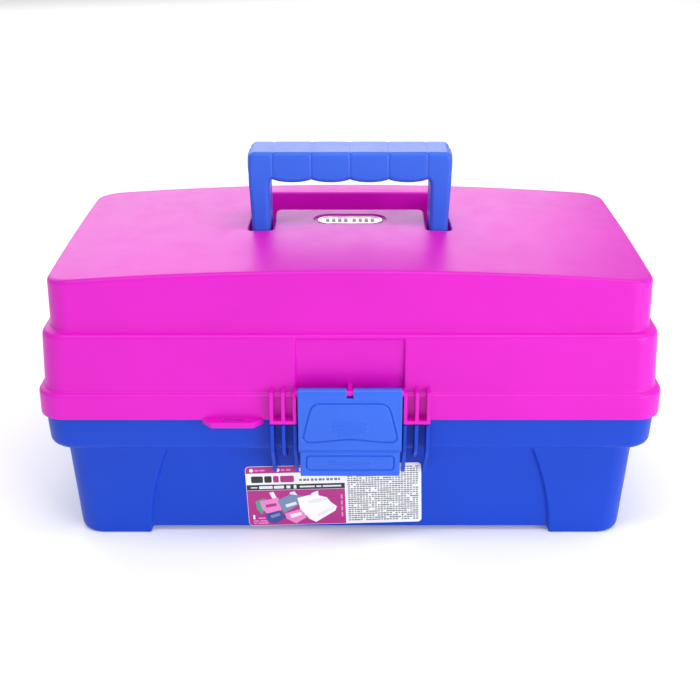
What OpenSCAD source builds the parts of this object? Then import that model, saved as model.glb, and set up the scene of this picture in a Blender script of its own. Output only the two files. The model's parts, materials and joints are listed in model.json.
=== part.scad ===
// Moulded two-colour supply box: tub, rear-hinged lid, two lift-up trays, folding handle and snap latch.
// Units are millimetres. X is the width, the front faces -Y, +Z is up, and the feet stand on Z = 0.

/* [Overall] */
// Width over the lid skirt, the widest part
box_w = 355; // [300:1:430]
// Depth over the lid skirt
box_d = 190; // [175:1:230]
// Height of the tub rim above the floor
rim_z = 96.5; // [90:0.5:120]
// Height of the lid's top tier
top_h = 30.5; // [28:0.5:45]
// Rise of the arched lid top between its ends
arch_h = 6.5; // [2:0.5:12]
// Corner radius of the lid skirt in plan
corner_r = 15; // [8:1:25]
// Wall of the tub and lid shells
wall = 1.8; // [1.4:0.1:2.4]

/* [Lid] */
// How far the lid skirt hangs below the tub rim
skirt_drop = 13; // [10:0.5:18]
// Height of the lid skirt
skirt_h = 15.5; // [14:0.5:22]
// Height of the lid's middle tier
tier_h = 34.5; // [32:0.5:48]
// Inset of the middle tier at its foot
tier_inset = 2.4; // [1:0.1:4]
// Inset of the top tier at its foot
top_inset = 7.8; // [5:0.1:10]
// Draft of each lid tier, measured as inset gained
tier_draft = 1.7; // [0.5:0.1:3]

/* [Tub] */
// Clearance between the lid skirt and the tub band
skirt_gap = 0.8; // [0.5:0.1:1.5]
// Height of the underside of the tub band
band_z = 61.5; // [55:0.5:70]
// Inset of the lower body just under the band
body_inset = 11.3; // [8:0.1:14]
// Extra inset that the lower body gains towards the floor
body_draft = 3.1; // [1:0.1:5]
// Height of the corner feet
foot_h = 3; // [2:0.5:8]
// Depth of the recessed panels between the corner posts
panel_depth = 2.5; // [1:0.1:4]
// Half width of the front panel at the floor
panel_half = 119.5; // [80:0.5:130]
// Half depth of the side panels at the floor
side_panel_half = 45; // [25:0.5:55]

/* [Handle] */
// Outer half width of the grip
grip_half = 59.8; // [50:0.1:70]
// Depth of the handle from front to back
grip_d = 29.4; // [20:0.1:30]
// Height of the grip bar
grip_h = 18.3; // [14:0.1:22]
// Width of each leg
leg_w = 10.3; // [9:0.1:15]
// Height of the grip's top above the handle pivot
handle_reach = 60.8; // [55:0.1:80]
// Depth of the handle pivot below the lid's corner height
pivot_drop = 8; // [7:0.1:12]
// Clearance between the folded handle and its well
well_gap = 1.5; // [1:0.1:3]
// Radius of the handle's trunnions
trunnion_r = 4; // [3:0.1:5]

/* [Latch] */
// Width of the latch at its top
latch_w = 58.3; // [45:0.1:70]
// Height from the latch rod to the latch's lower edge
latch_drop = 50.7; // [42:0.1:60]
// Thickness of the latch plate
latch_t = 2.2; // [1.8:0.1:3]
// Radius of the lid's rod that the latch turns on
rod_r = 1.8; // [1.5:0.1:2.2]
// Clearance between the latch and the guard ribs beside it
latch_gap = 0.8; // [0.4:0.1:1.5]
// Thickness of a guard rib
rib_t = 2.1; // [1.5:0.1:3]
// Spacing of the guard ribs
rib_pitch = 6.5; // [5:0.1:8]

/* [Rear hinges] */
// Distance of each hinge from the middle
hinge_x = 95; // [60:1:130]
// Outer radius of the hinge knuckles
knuckle_r = 3.9; // [3.4:0.1:5]
// Radius of the hinge pins
hinge_pin_r = 1.6; // [1.2:0.1:2]
// Length of one hinge from end to end
hinge_len = 28; // [20:1:40]

/* [Tray linkage] */
// Length of each swing arm between its base and upper tray pivots
arm_len = 110; // [100:1:115]
// Angle of the arms above the horizontal when the lid is shut
arm_angle = 28; // [26:1:30]
// Share of the arm's length at which the lower tray hangs
lower_share = 0.47; // [0.42:0.01:0.5]
// Distance between the front and rear arm pivots
arm_pitch = 48; // [40:1:52]
// Width of an arm or link
arm_w = 9; // [8:0.5:10]
// Thickness of an arm
arm_t = 2; // [1.6:0.1:2.4]
// Radius of the pivot pins
pin_r = 2; // [1.6:0.1:2.2]
// Running clearance round a pin
run_gap = 0.06; // [0.03:0.01:0.1]
// Length of the lid links between their pivots
link_len = 36.9; // [36:0.1:38]
// Angle at which the lid links rise toward the back when the lid is shut
link_angle = 14.9; // [14:0.1:16]
// Extra radius of the tray end of each link, which takes up the linkage's play
link_play = 1.1; // [1:0.1:1.4]

/* [Trays] */
// Wall and floor of the trays
tray_wall = 1.6; // [1.2:0.1:2.2]
// Height of the lower tray
lower_tray_h = 29; // [26:0.5:32]
// Gap between the trays, and between the upper tray and the handle well
tray_gap = 2.5; // [2:0.1:5]
// Clearance in front of the trays
tray_front_gap = 10; // [9:0.5:14]
// Distance from the hinge line to the back of the lower tray
lower_back_gap = 39.5; // [36:0.5:50]
// Distance from the hinge line to the back of the upper tray, which lifts past the handle well
upper_back_gap = 61.5; // [60:0.5:66]

/* [Label and badge] */
// Width of the paper label
label_w = 104; // [80:1:120]
// Height of the paper label
label_h = 42; // [30:1:46]
// Length of the badge plate
badge_l = 39.4; // [30:0.1:42]
// Width of the badge plate
badge_w = 14.6; // [10:0.1:18]

/* [Hidden] */
pink = [0.91, 0.18, 0.83];
blue = [0.24, 0.42, 0.90];
$fn = 40;
eps = 0.01;
reach = 400;                                   // longer than anything it cuts

// Heights
lid_z = rim_z - skirt_drop;                    // lower edge of the lid skirt
ledge_z = lid_z + skirt_h;                     // ledge over the skirt
tier_z = ledge_z + tier_h;                     // ledge over the middle tier
corner_z = tier_z + top_h;                     // lid top at its four corners
arch_half = box_w / 2 - top_inset - tier_draft;
arch_r = (arch_half * arch_half + arch_h * arch_h) / (2 * arch_h);
arch_zc = corner_z + arch_h - arch_r;          // axis of the arched top
floor_z = foot_h + 2;                          // inside of the tub floor
band_inset = wall + skirt_gap;                 // tub band inside the lid skirt
band_low_inset = band_inset + 1.3;
foot_inset = body_inset + body_draft;
core_x = box_w / 2 - foot_inset - panel_depth - wall - 0.4;   // straight inside of the lower body
core_y = box_d / 2 - foot_inset - panel_depth - wall - 0.4;

// Rear hinge line
hinge_y = box_d / 2 + 4.5;
hinge_z = lid_z + 2.5;

// Handle and its well
pivot_z = corner_z - pivot_drop;
well_floor = pivot_z - grip_d / 2 - well_gap;
well_half = grip_half + 0.7;
leg_in = grip_half - leg_w - 1.8;              // inner face of a leg
slot_in = leg_in - 1.8;
well_front = -grip_d / 2 - well_gap;
well_back = handle_reach + 5.4;
grip_low = pivot_z + handle_reach - grip_h;    // underside of the grip
trough_front = grip_low - pivot_z - 17.2;      // rear edge of the platform

// Latch
rod_y = -box_d / 2 - 3.9;
rod_z = ledge_z + 3.2;
latch_face = -hinge_y - knuckle_r;             // front of the latch, level with the hinges behind
roll_r = 3.7;
catch_z = rod_z - 31.2;                        // underside of the catch rib
catch_t = 2.5;
band_face = box_d / 2 - band_low_inset;
rib_in = latch_w / 2 + latch_gap;
rib_face = -box_d / 2 - 5.8;
rib_low = lid_z - 1.5;
rib_high = ledge_z + 5.5;

// Tray linkage, measured from the hinge line
arm_rear_y = hinge_y - 21.5;
arm_front_y = arm_rear_y - arm_pitch;
arm_low_z = hinge_z - 13;
arm_dy = arm_len * cos(arm_angle);
arm_dz = arm_len * sin(arm_angle);
link_lid_y = hinge_y - 117;
link_lid_z = hinge_z + 18.5;
link_tray_y = link_lid_y + link_len * cos(link_angle);
link_tray_z = link_lid_z + link_len * sin(link_angle);
side_in = box_w / 2 - tier_inset - tier_draft - wall;   // lid wall inside, at the middle tier's top
link_t = 1.8;
link_x = side_in - 4;                          // inner face of a link
arm_x = link_x - 4.1;                          // inner face of an arm
head_r = 3.4;
head_t = 0.8;
tray_half = arm_x - 1.4;
boss_r = 5;
eye_proud = 0.7;                               // of the pivot eyes beyond the bar between them

// Trays
tray_front = -box_d / 2 + tray_front_gap;
lower_z = hinge_z - 11;
upper_z = lower_z + lower_tray_h + tray_gap;
upper_tray_h = well_floor - wall - tray_gap - 0.2 - upper_z;
tray_r = 6;

// Rounded rectangle as a list of points, n steps in each corner
function rounded(hw, hd, r, n = 5) = [for (q = [0:3]) for (i = [0:n])
    let (a = 90 * q + 90 * i / n,
         sx = (q == 0 || q == 3) ? 1 : -1,
         sy = (q < 2) ? 1 : -1)
    [sx * (hw - r) + r * cos(a), sy * (hd - r) + r * sin(a)]];

// Solid skinned over levels, each [height, inset from the skirt, corner radius]
module loft(levels) {
    rings = [for (l = levels) rounded(box_w / 2 - l[1], box_d / 2 - l[1], l[2])];
    m = len(rings[0]);
    top = len(levels) - 1;
    points = [for (k = [0:top]) for (p = rings[k]) [p[0], p[1], levels[k][0]]];
    sides = [for (k = [0:top - 1]) for (i = [0:m - 1]) let (j = (i + 1) % m)
        each [[k * m + i, (k + 1) * m + i, (k + 1) * m + j], [k * m + i, (k + 1) * m + j, k * m + j]]];
    caps = [[for (i = [0:m - 1]) i], [for (i = [m - 1:-1:0]) top * m + i]];
    polyhedron(points, concat(sides, caps));
}

// Box between two corners
module span(low, high) {
    translate(low) cube(high - low);
}

// Cylinder along X from x0 to x1
module rod(x0, x1, y, z, r) {
    translate([x0, y, z]) rotate([0, 90, 0]) cylinder(r = r, h = x1 - x0);
}

// Outline drawn in Y and Z, extruded along X from x0 to x1
module slab(x0, x1, outline) {
    translate([x0, 0, 0]) rotate([90, 0, 90]) linear_extrude(x1 - x0) polygon(outline);
}

// Outline drawn in X and Z, extruded along Y from y0 to y1
module plate_xz(y0, y1, outline) {
    translate([0, y1, 0]) rotate([90, 0, 0]) linear_extrude(y1 - y0) polygon(outline);
}

// Copies its child on the other side of the middle
module both() {
    children();
    mirror([1, 0, 0]) children();
}

// ---- Tub ----

// Outer skin of the tub, thinned by t for the cavity
module tub_form(t, low, high) {
    r = corner_r - t;
    loft([
        [low, foot_inset + t, r - 2],
        [band_z - 4 + t, body_inset + t, r - 2],
        [band_z - 1.5 + t, body_inset - 0.7 + t, r - 2],
        [band_z + t, body_inset - 2.6 + t, r - 1],
        [band_z + 0.8 + t * 0.9, band_low_inset + 2.2 + t, r - 1],
        [band_z + 2.1 + t * 0.7, band_low_inset + 0.7 + t, r],
        [band_z + 4 + t * 0.5, band_low_inset + t, r],
        [high, band_inset + t, r]]);
}

// Wedges that sink the panels between the corner posts, dug t less deep
module panel_wedges(t) {
    top = band_z - 3;
    tip = panel_half - 13;
    face_low = box_d / 2 - foot_inset - panel_depth - t;
    face_high = box_d / 2 - body_inset - panel_depth - t;
    end_low = box_w / 2 - foot_inset - panel_depth - t;
    end_high = box_w / 2 - body_inset - panel_depth - t;
    outline_y = [[face_low, -eps], [reach, -eps], [reach, top], [face_high, top]];
    outline_x = [[end_low, -eps], [reach, -eps], [reach, top], [end_high, top]];
    for (turn = [0, 180]) rotate([0, 0, turn]) {
        intersection() {
            slab(-panel_half - t, panel_half + t, outline_y);
            plate_xz(0, reach, [[-panel_half - t, -1], [panel_half + t, -1],
                [tip + t, top + eps], [-tip - t, top + eps]]);
        }
        rotate([0, 0, 90]) slab(-side_panel_half - t, side_panel_half + t, outline_x);
    }
}

// Ear that carries the tub's half of a rear hinge
module tub_ear(x0, x1) {
    rod(x0, x1, hinge_y, hinge_z, knuckle_r);
    slab(x0, x1, [[hinge_y + knuckle_r, hinge_z], [hinge_y + knuckle_r - 0.4, hinge_z - 4],
        [band_face - 0.6, hinge_z - 18], [band_face - 0.6, lid_z - 1.2], [hinge_y - 4.2, lid_z - 1.2],
        [hinge_y - 3.4, hinge_z - 1.6], [hinge_y - 2, hinge_z]]);
}

// Guard rib under the lid's ribs, running out on the lower body
module tub_rib(x, low) {
    slab(x, x + rib_t, [[-band_face + 1, rib_low - 0.6], [rib_face + 1, rib_low - 0.6],
        [rib_face + 1.2, band_z + 4], [-box_d / 2 + body_inset + 0.4, low],
        [-box_d / 2 + body_inset + 3.2, low]]);
}

module base_tub() {
    knuckle = hinge_len / 2;
    half = knuckle - 8.2;
    color(blue) difference() {
        union() {
            difference() {
                tub_form(0, 0, rim_z);
                difference() {
                    tub_form(wall, floor_z, rim_z + eps);
                    difference() {
                        span([-reach, -reach, -1], [reach, reach, band_z - 3 + wall]);
                        span([-core_x, -core_y, -1], [core_x, core_y, reach]);
                    }
                }
                panel_wedges(0);
                span([-panel_half, -reach, -eps], [panel_half, reach, foot_h]);
                span([-reach, -side_panel_half, -eps], [reach, side_panel_half, foot_h]);
            }
            for (side = [-1, 1]) {
                tub_ear(side * hinge_x - knuckle, side * hinge_x - half);
                tub_ear(side * hinge_x + half, side * hinge_x + knuckle);
            }
            both() {
                tub_rib(rib_in, band_z - 18);
                tub_rib(rib_in + rib_pitch, band_z - 8);
                tub_rib(rib_in + 2 * rib_pitch, band_z - 18);
                for (y = [arm_rear_y, arm_front_y])
                    rod(arm_x + arm_t + 0.4, box_w / 2 - band_inset - wall / 2 - 0.9, y, arm_low_z, boss_r);
            }
            span([-latch_w / 2 + 7, -band_face - 2.9, catch_z], [latch_w / 2 - 7, -band_face + 1, catch_z + catch_t]);
        }
        for (side = [-1, 1])
            rod(side * hinge_x - knuckle - 1, side * hinge_x + knuckle + 1, hinge_y, hinge_z, hinge_pin_r);
        both() for (y = [arm_rear_y, arm_front_y])
            rod(arm_x + arm_t, arm_x + arm_t + 4.4, y, arm_low_z, pin_r);
    }
}

// Paper label on the sunk front panel
module label_sticker() {
    lean = atan(body_draft / (band_z - 3));
    color("white")
        translate([-9.5, -box_d / 2 + foot_inset + panel_depth - eps, 0])
        rotate([90 + lean, 0, 0])
        translate([0, 26, 0])
        rotate([0, 0, 1.8])
        linear_extrude(0.25) polygon(rounded(label_w / 2, label_h / 2, 2.5));
}

// Steel pin of one rear hinge, with its head outwards
module hinge_pin(side) {
    half = hinge_len / 2;
    color("silver") {
        rod(side * hinge_x - half, side * hinge_x + half, hinge_y, hinge_z, hinge_pin_r);
        rod(side * (hinge_x + half + 0.6) - 0.6, side * (hinge_x + half + 0.6) + 0.6,
            hinge_y, hinge_z, hinge_pin_r + 1.2);
    }
}
module hinge_pin_left() { hinge_pin(-1); }
module hinge_pin_right() { hinge_pin(1); }

// ---- Lid ----

// Skin of the lid up to the arched top, thinned by t for the cavity
module lid_form(t, low) {
    r = corner_r - t;
    intersection() {
        loft([
            [low, t, r],
            [ledge_z - 1.2 - t * 0.6, t, r],
            [ledge_z - t * 0.8, 0.8 + t, r],
            [ledge_z + 0.6 - t, tier_inset + t, r - 1],
            [tier_z - 1.6 - t * 0.6, tier_inset + tier_draft + t, r - 1],
            [tier_z - 0.4 - t * 0.8, tier_inset + tier_draft + 1 + t, r - 1],
            [tier_z + 0.4 - t, top_inset + t, r - 2],
            [corner_z + arch_h + 4, top_inset + tier_draft + t, r - 2]]);
        translate([0, reach, arch_zc]) rotate([90, 0, 0]) cylinder(r = arch_r - t, h = 2 * reach, $fn = 400);
    }
}

// Plan of the handle well: a slot for each leg joined by a trough behind the platform, grown by t
module well_plan(t) {
    difference() {
        translate([-well_half - t, well_front - t]) square([2 * (well_half + t), well_back - well_front + 2 * t]);
        translate([-slot_in + t, well_front - t - 1])
            square([2 * (slot_in - t), trough_front - t - well_front + t + 1]);
    }
}

// Sunken face behind the latch, moved inwards by t
module latch_recess(t) {
    slab(-rib_in - 0.4 - t, rib_in + 0.4 + t, [
        [-reach, ledge_z - 0.6],
        [-box_d / 2 + tier_inset + 3.6 + t, ledge_z - 0.6],
        [-box_d / 2 + tier_inset + tier_draft + 1.2 + t, tier_z - 2.4],
        [-reach, tier_z - 2.4]]);
}

// Guard rib beside the latch
module lid_rib(x) {
    slab(x, x + rib_t, [[-box_d / 2 + 0.9, rib_low], [rib_face, rib_low], [rib_face, rib_high - 3],
        [rib_face + 2, rib_high], [-box_d / 2 + tier_inset + 1, rib_high], [-box_d / 2 + tier_inset + 1, ledge_z - 2],
        [-box_d / 2 + 0.9, ledge_z - 2]]);
}

// Ear that carries the lid's half of a rear hinge
module lid_ear(x0, x1) {
    rod(x0, x1, hinge_y, hinge_z, knuckle_r);
    slab(x0, x1, [[hinge_y + knuckle_r, hinge_z], [hinge_y + knuckle_r - 1, hinge_z + 3],
        [box_d / 2 + 1.2, ledge_z - 2], [box_d / 2 - 0.9, ledge_z - 2],
        [box_d / 2 - 0.9, lid_z + eps], [hinge_y - 2, lid_z + eps]]);
}

module carry_tab() {
    x0 = -box_w / 2 + 94;
    difference() {
        translate([0, 0, lid_z - 2.2]) linear_extrude(3.5) polygon([
            [x0, -box_d / 2 + 0.9], [x0, -box_d / 2], [x0 + 5.5, -box_d / 2 - 6], [x0 + 29.2, -box_d / 2 - 6],
            [x0 + 34.7, -box_d / 2], [x0 + 34.7, -box_d / 2 + 0.9]]);
        span([x0 + 11.7, -box_d / 2 - 3.7, lid_z - 3], [x0 + 23.6, -box_d / 2 - 0.3, lid_z + 2]);
        span([x0 - 1, -box_d / 2 + eps, lid_z - 3], [x0 + 36, -box_d / 2 + 1, lid_z]);
    }
}

module lid_shell() {
    lug = hinge_len / 2 - 8.2 - 0.4;
    color(pink) difference() {
        union() {
            difference() {
                union() {
                    difference() {
                        lid_form(0, lid_z);
                        difference() {
                            lid_form(wall, lid_z - eps);
                            latch_recess(wall);
                        }
                    }
                    intersection() {
                        lid_form(0, lid_z);
                        translate([0, 0, well_floor - wall]) linear_extrude(reach) well_plan(wall);
                    }
                }
                latch_recess(0);
                translate([0, 0, well_floor]) linear_extrude(reach) well_plan(0);
                badge_pocket();
            }
            rod(-rib_in - 0.5, rib_in + 0.5, rod_y, rod_z, rod_r);
            span([-1.3, rod_y, rod_z - 1.2], [1.3, -box_d / 2 + tier_inset + 4.4, rod_z + 1.2]);
            both() {
                for (k = [0:2]) lid_rib(rib_in + k * rib_pitch);
                span([rib_in, rib_face, rib_low], [rib_in + 2 * rib_pitch + rib_t, -box_d / 2 + eps, lid_z + 0.5]);
                rod(link_x + link_t + 0.4, side_in + 2.2, link_lid_y, link_lid_z, boss_r);
            }
            for (side = [-1, 1]) lid_ear(side * hinge_x - lug, side * hinge_x + lug);
            carry_tab();
        }
        for (side = [-1, 1])
            rod(side * hinge_x - lug - 1, side * hinge_x + lug + 1, hinge_y, hinge_z, hinge_pin_r + run_gap);
        both() rod(well_half - 0.5, well_half + wall + 1, 0, pivot_z, trunnion_r + run_gap);
        both() rod(link_x + link_t, link_x + link_t + 3, link_lid_y, link_lid_z, pin_r);
    }
}

// Rounded bar shape of the badge and its pocket
module pill(length, width, height) {
    end = (length - width) / 2;
    translate([0, badge_y(), 0]) {
        translate([-end, -width / 2, 0]) cube([2 * end, width, height]);
        for (x = [-end, end]) translate([x, 0, 0]) cylinder(d = width, h = height);
    }
}
function badge_y() = trough_front - 21;
function badge_z() = corner_z + arch_h - 0.9;

module badge_pocket() {
    translate([0, 0, badge_z()]) pill(badge_l + 5.2, badge_w + 5.2, 5);
}

module badge_plate() {
    color([0.93, 0.62, 0.90]) translate([0, 0, badge_z()]) pill(badge_l, badge_w, 0.7);
}

// ---- Handle ----

module handle() {
    color(blue) {
        both() {
            rod(leg_in, leg_in + leg_w - 0.4, 0, pivot_z, grip_d / 2);
            plate_xz(-grip_d / 2, grip_d / 2, [[leg_in, pivot_z], [leg_in + leg_w - 0.4, pivot_z],
                [grip_half, grip_low + grip_h - 2], [grip_half - 2, grip_low + grip_h],
                [leg_in - 1, grip_low + grip_h], [leg_in - 0.7, grip_low]]);
            rod(leg_in + leg_w - 1, well_half + wall, 0, pivot_z, trunnion_r);
            translate([grip_half - 0.1, 0, grip_low + grip_h / 2]) rotate([0, 90, 0])
                linear_extrude(0.8) end_pad();
        }
        difference() {
            span([-leg_in, -grip_d / 2, grip_low], [leg_in, grip_d / 2, grip_low + grip_h]);
            finger_scallops();
        }
    }
}

// Oval pad on the end of the grip
module end_pad() {
    for (y = [-5, 5]) translate([0, y]) circle(d = 12);
    translate([-6, -5]) square([12, 10]);
}

// Shallow hollows between the four finger lobes under the grip
module finger_scallops() {
    lobe = 2 * leg_in / 4;
    for (k = [0:4])
        translate([-leg_in + k * lobe, 0, grip_low]) rotate([90, 0, 0])
            linear_extrude(grip_d + 1, center = true) polygon([[-7, -1], [0, 1.7], [7, -1]]);
}

// ---- Latch ----

module latch() {
    half = latch_w / 2;
    low = rod_z - latch_drop;
    crease = catch_z - 3.6;
    inner = latch_face + latch_t;
    color(blue) difference() {
        union() {
            rod(-half, half, rod_y, rod_z, roll_r);
            slab(-half, half, [[latch_face + 1.3, rod_z + 3.2], [latch_face + 0.3, rod_z + 1.6], [latch_face, rod_z - 1],
                [latch_face, crease + 1.4], [latch_face + 0.9, crease], [latch_face, crease - 1.4],
                [latch_face, low + 0.8], [latch_face + 0.8, low], [inner + 0.4, low], [inner, crease - 1],
                [inner, rod_z - 4], [rod_y, rod_z - roll_r], [rod_y, rod_z + roll_r], [rod_y - 1, rod_z + roll_r]]);
            span([-half + 9, inner - 1, catch_z - 3], [half - 9, -band_face - 1.3, catch_z - 0.5]);
            for (x = [-half + 9, -1, half - 11])
                slab(x, x + 2, [[inner - 0.5, catch_z + 8], [inner - 0.5, catch_z - 2],
                    [-band_face - 3.6, catch_z - 2], [-band_face - 3.6, catch_z - 0.5]]);
        }
        rod(-half - 1, half + 1, rod_y, rod_z, rod_r + run_gap);
        span([-1.9, latch_face - 1, rod_z - 2.2], [1.9, rod_y + 8, rod_z + 8]);
        span([-1.9, rod_y - 2.6, rod_z - 5], [1.9, rod_y + 8, rod_z + 8]);
        both() slab(half - 0.9, half + 1, [[latch_face - 1, low - 1], [latch_face - 1, crease + 1],
            [inner + 1, crease + 1], [inner + 1, low - 1]]);
    }
}

// ---- Linkage ----

// Outline of an arm in Y and Z: a flat bar with a round eye at each end and one at the lower tray's pivot
module arm_outline(y) {
    for (f = [0, lower_share, 1])
        translate([y - f * arm_dy, arm_low_z + f * arm_dz]) circle(r = arm_w / 2);
    translate([y, arm_low_z]) rotate(atan2(arm_dz, -arm_dy))
        translate([0, eye_proud - arm_w / 2]) square([arm_len, arm_w - 2 * eye_proud]);
}
module arm(y) {
    color(pink) translate([arm_x, 0, 0]) rotate([90, 0, 90]) linear_extrude(arm_t) difference() {
        arm_outline(y);
        for (f = [0, lower_share, 1])
            translate([y - f * arm_dy, arm_low_z + f * arm_dz]) circle(r = pin_r + run_gap);
    }
}
module rear_arm_left() { mirror([1, 0, 0]) arm(arm_rear_y); }
module rear_arm_right() { arm(arm_rear_y); }
module front_arm_left() { mirror([1, 0, 0]) arm(arm_front_y); }
module front_arm_right() { arm(arm_front_y); }

// The link's two pivots lie at link_lid_y, link_lid_z and link_tray_y, link_tray_z
module lid_link() {
    run = norm([link_tray_y - link_lid_y, link_tray_z - link_lid_z]);
    color(pink) translate([link_x, 0, 0]) rotate([90, 0, 90]) linear_extrude(link_t) difference() {
        union() {
            translate([link_lid_y, link_lid_z]) circle(r = arm_w / 2);
            translate([link_tray_y, link_tray_z]) circle(r = arm_w / 2);
            translate([link_lid_y, link_lid_z]) rotate(atan2(link_tray_z - link_lid_z, link_tray_y - link_lid_y))
                translate([0, eye_proud - arm_w / 2]) square([run, arm_w - 2 * eye_proud]);
        }
        translate([link_lid_y, link_lid_z]) circle(r = pin_r + run_gap);
        translate([link_tray_y, link_tray_z]) circle(r = pin_r + link_play);
    }
}
module lid_link_left() { mirror([1, 0, 0]) lid_link(); }
module lid_link_right() { lid_link(); }

// Headed pin: shank from x0 to x1, with heads t0 and t1 thick outside its two ends
module headed(x0, x1, y, z, t0, t1) {
    rod(x0 - t0 / 2, x1 + t1 / 2, y, z, pin_r);
    if (t0 > 0) rod(x0 - t0, x0, y, z, head_r);
    if (t1 > 0) rod(x1, x1 + t1, y, z, head_r);
}

module base_pivot_pins() {
    color("silver") both() for (y = [arm_rear_y, arm_front_y])
        headed(arm_x - 0.1, arm_x + arm_t + 4.4, y, arm_low_z, head_t, 0);
}

module tray_pins(share) {
    inner = tray_half - tray_wall;
    color("silver") both() for (y = [arm_rear_y, arm_front_y])
        headed(inner, arm_x + arm_t + 0.15, y - share * arm_dy, arm_low_z + share * arm_dz, head_t, head_t);
}
module lower_tray_pins() { tray_pins(lower_share); }
module upper_tray_pins() { tray_pins(1); }

module tray_link_pins() {
    color("silver") both() headed(tray_half - tray_wall, link_x + link_t + 0.2, link_tray_y, link_tray_z, head_t, head_t - 0.1);
}

module lid_link_pins() {
    color("silver") both() headed(link_x - 0.1, link_x + link_t + 3, link_lid_y, link_lid_z, head_t, 0);
}

// ---- Trays ----

// Open tray from z up by h, back to y = back; rows holds [share at the row's front, share at its back, bins]
module tray(z, h, back, rows, pins) {
    mid = (tray_front + back) / 2;
    half_d = (back - tray_front) / 2;
    inner_w = 2 * (tray_half - tray_wall);
    inner_d = 2 * (half_d - tray_wall);
    color(blue) difference() {
        translate([0, mid, z]) linear_extrude(h) polygon(rounded(tray_half, half_d, tray_r));
        intersection() {
            translate([0, mid, z + tray_wall]) linear_extrude(h)
                polygon(rounded(tray_half - tray_wall, half_d - tray_wall, tray_r - tray_wall));
            for (row = rows) {
                y0 = tray_front + tray_wall + row[0] * inner_d;
                y1 = tray_front + tray_wall + row[1] * inner_d;
                bin = inner_w / row[2];
                for (k = [0:row[2] - 1])
                    span([-inner_w / 2 + k * bin + (k == 0 ? -1 : tray_wall / 2), y0 + (row[0] == 0 ? -1 : tray_wall / 2), z],
                        [-inner_w / 2 + (k + 1) * bin - (k == row[2] - 1 ? -1 : tray_wall / 2),
                            y1 - (row[1] == 1 ? -1 : tray_wall / 2), z + h + 1]);
            }
        }
        both() for (p = pins) rod(tray_half - tray_wall - 1, tray_half + 1, p[0], p[1], pin_r);
    }
}

function pivots(share) = [for (y = [arm_rear_y, arm_front_y]) [y - share * arm_dy, arm_low_z + share * arm_dz]];

// The lower tray's divider stands just behind the heads of its front pivot pins
module tray_lower() {
    back = hinge_y - lower_back_gap;
    divider = arm_front_y - lower_share * arm_dy + head_r + 1 + tray_wall / 2;
    split = (divider - tray_front - tray_wall) / (back - tray_front - 2 * tray_wall);
    tray(lower_z, lower_tray_h, back, [[0, split, 3], [split, 1, 4]], pivots(lower_share));
}

module tray_upper() {
    tray(upper_z, upper_tray_h, hinge_y - upper_back_gap, [[0, 0.34, 1], [0.34, 0.67, 3], [0.67, 1, 4]],
        concat(pivots(1), [[link_tray_y, link_tray_z]]));
}

base_tub();
label_sticker();
hinge_pin_left();
hinge_pin_right();
base_pivot_pins();
lid_shell();
badge_plate();
lid_link_pins();
handle();
latch();
rear_arm_left();
rear_arm_right();
front_arm_left();
front_arm_right();
lid_link_left();
lid_link_right();
tray_lower();
lower_tray_pins();
tray_upper();
upper_tray_pins();
tray_link_pins();
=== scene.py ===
"""A moulded carrying box: stepped lid, tub, folding handle, snap latch and two trays that rise with the lid.

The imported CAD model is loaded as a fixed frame. Every class below builds one sub-assembly around it, and
its sizes are in millimetres, in the frame's own axes: X is the width, the front faces -Y and the feet stand
on Z = 0.
"""

from __future__ import annotations

import json
import logging
import math
from dataclasses import dataclass
from enum import Enum
from typing import Callable, Sequence

import bmesh
import bpy
import numpy as np
from mathutils import Matrix, Vector
from mathutils.geometry import delaunay_2d_cdt

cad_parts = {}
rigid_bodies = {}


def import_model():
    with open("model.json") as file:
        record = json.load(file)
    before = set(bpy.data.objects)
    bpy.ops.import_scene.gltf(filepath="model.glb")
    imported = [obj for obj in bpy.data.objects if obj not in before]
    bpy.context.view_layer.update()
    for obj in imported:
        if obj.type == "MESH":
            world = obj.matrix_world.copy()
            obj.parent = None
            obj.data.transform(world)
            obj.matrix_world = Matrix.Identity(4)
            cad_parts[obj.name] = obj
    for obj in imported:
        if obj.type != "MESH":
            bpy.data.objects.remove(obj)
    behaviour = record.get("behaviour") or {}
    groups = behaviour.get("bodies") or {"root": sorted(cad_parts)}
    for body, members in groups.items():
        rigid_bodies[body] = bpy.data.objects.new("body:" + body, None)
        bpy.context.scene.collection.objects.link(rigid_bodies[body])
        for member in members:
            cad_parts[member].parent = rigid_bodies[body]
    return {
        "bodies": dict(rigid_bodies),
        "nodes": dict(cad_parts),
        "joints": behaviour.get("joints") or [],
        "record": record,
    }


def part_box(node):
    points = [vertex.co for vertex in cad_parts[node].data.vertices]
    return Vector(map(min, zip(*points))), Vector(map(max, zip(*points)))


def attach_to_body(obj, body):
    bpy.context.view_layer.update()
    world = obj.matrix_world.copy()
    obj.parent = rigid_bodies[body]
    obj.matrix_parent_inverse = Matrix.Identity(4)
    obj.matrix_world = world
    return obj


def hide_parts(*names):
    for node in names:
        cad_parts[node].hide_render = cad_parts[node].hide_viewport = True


LOG = logging.getLogger("supply_box")
MM = 0.001
Point2 = tuple[float, float]
Corner = tuple[float, float, float]
Points = np.ndarray


class Slot(str, Enum):
    """Material slots of the record."""

    TUB = "tub_blue"
    LID = "lid_pink"
    LATCH = "latch_blue"
    TRAY = "tray_blue"
    METAL = "pin_metal"
    PAPER = "label_paper"
    BADGE = "badge_pearl"


# ---- Shader graphs ----


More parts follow.
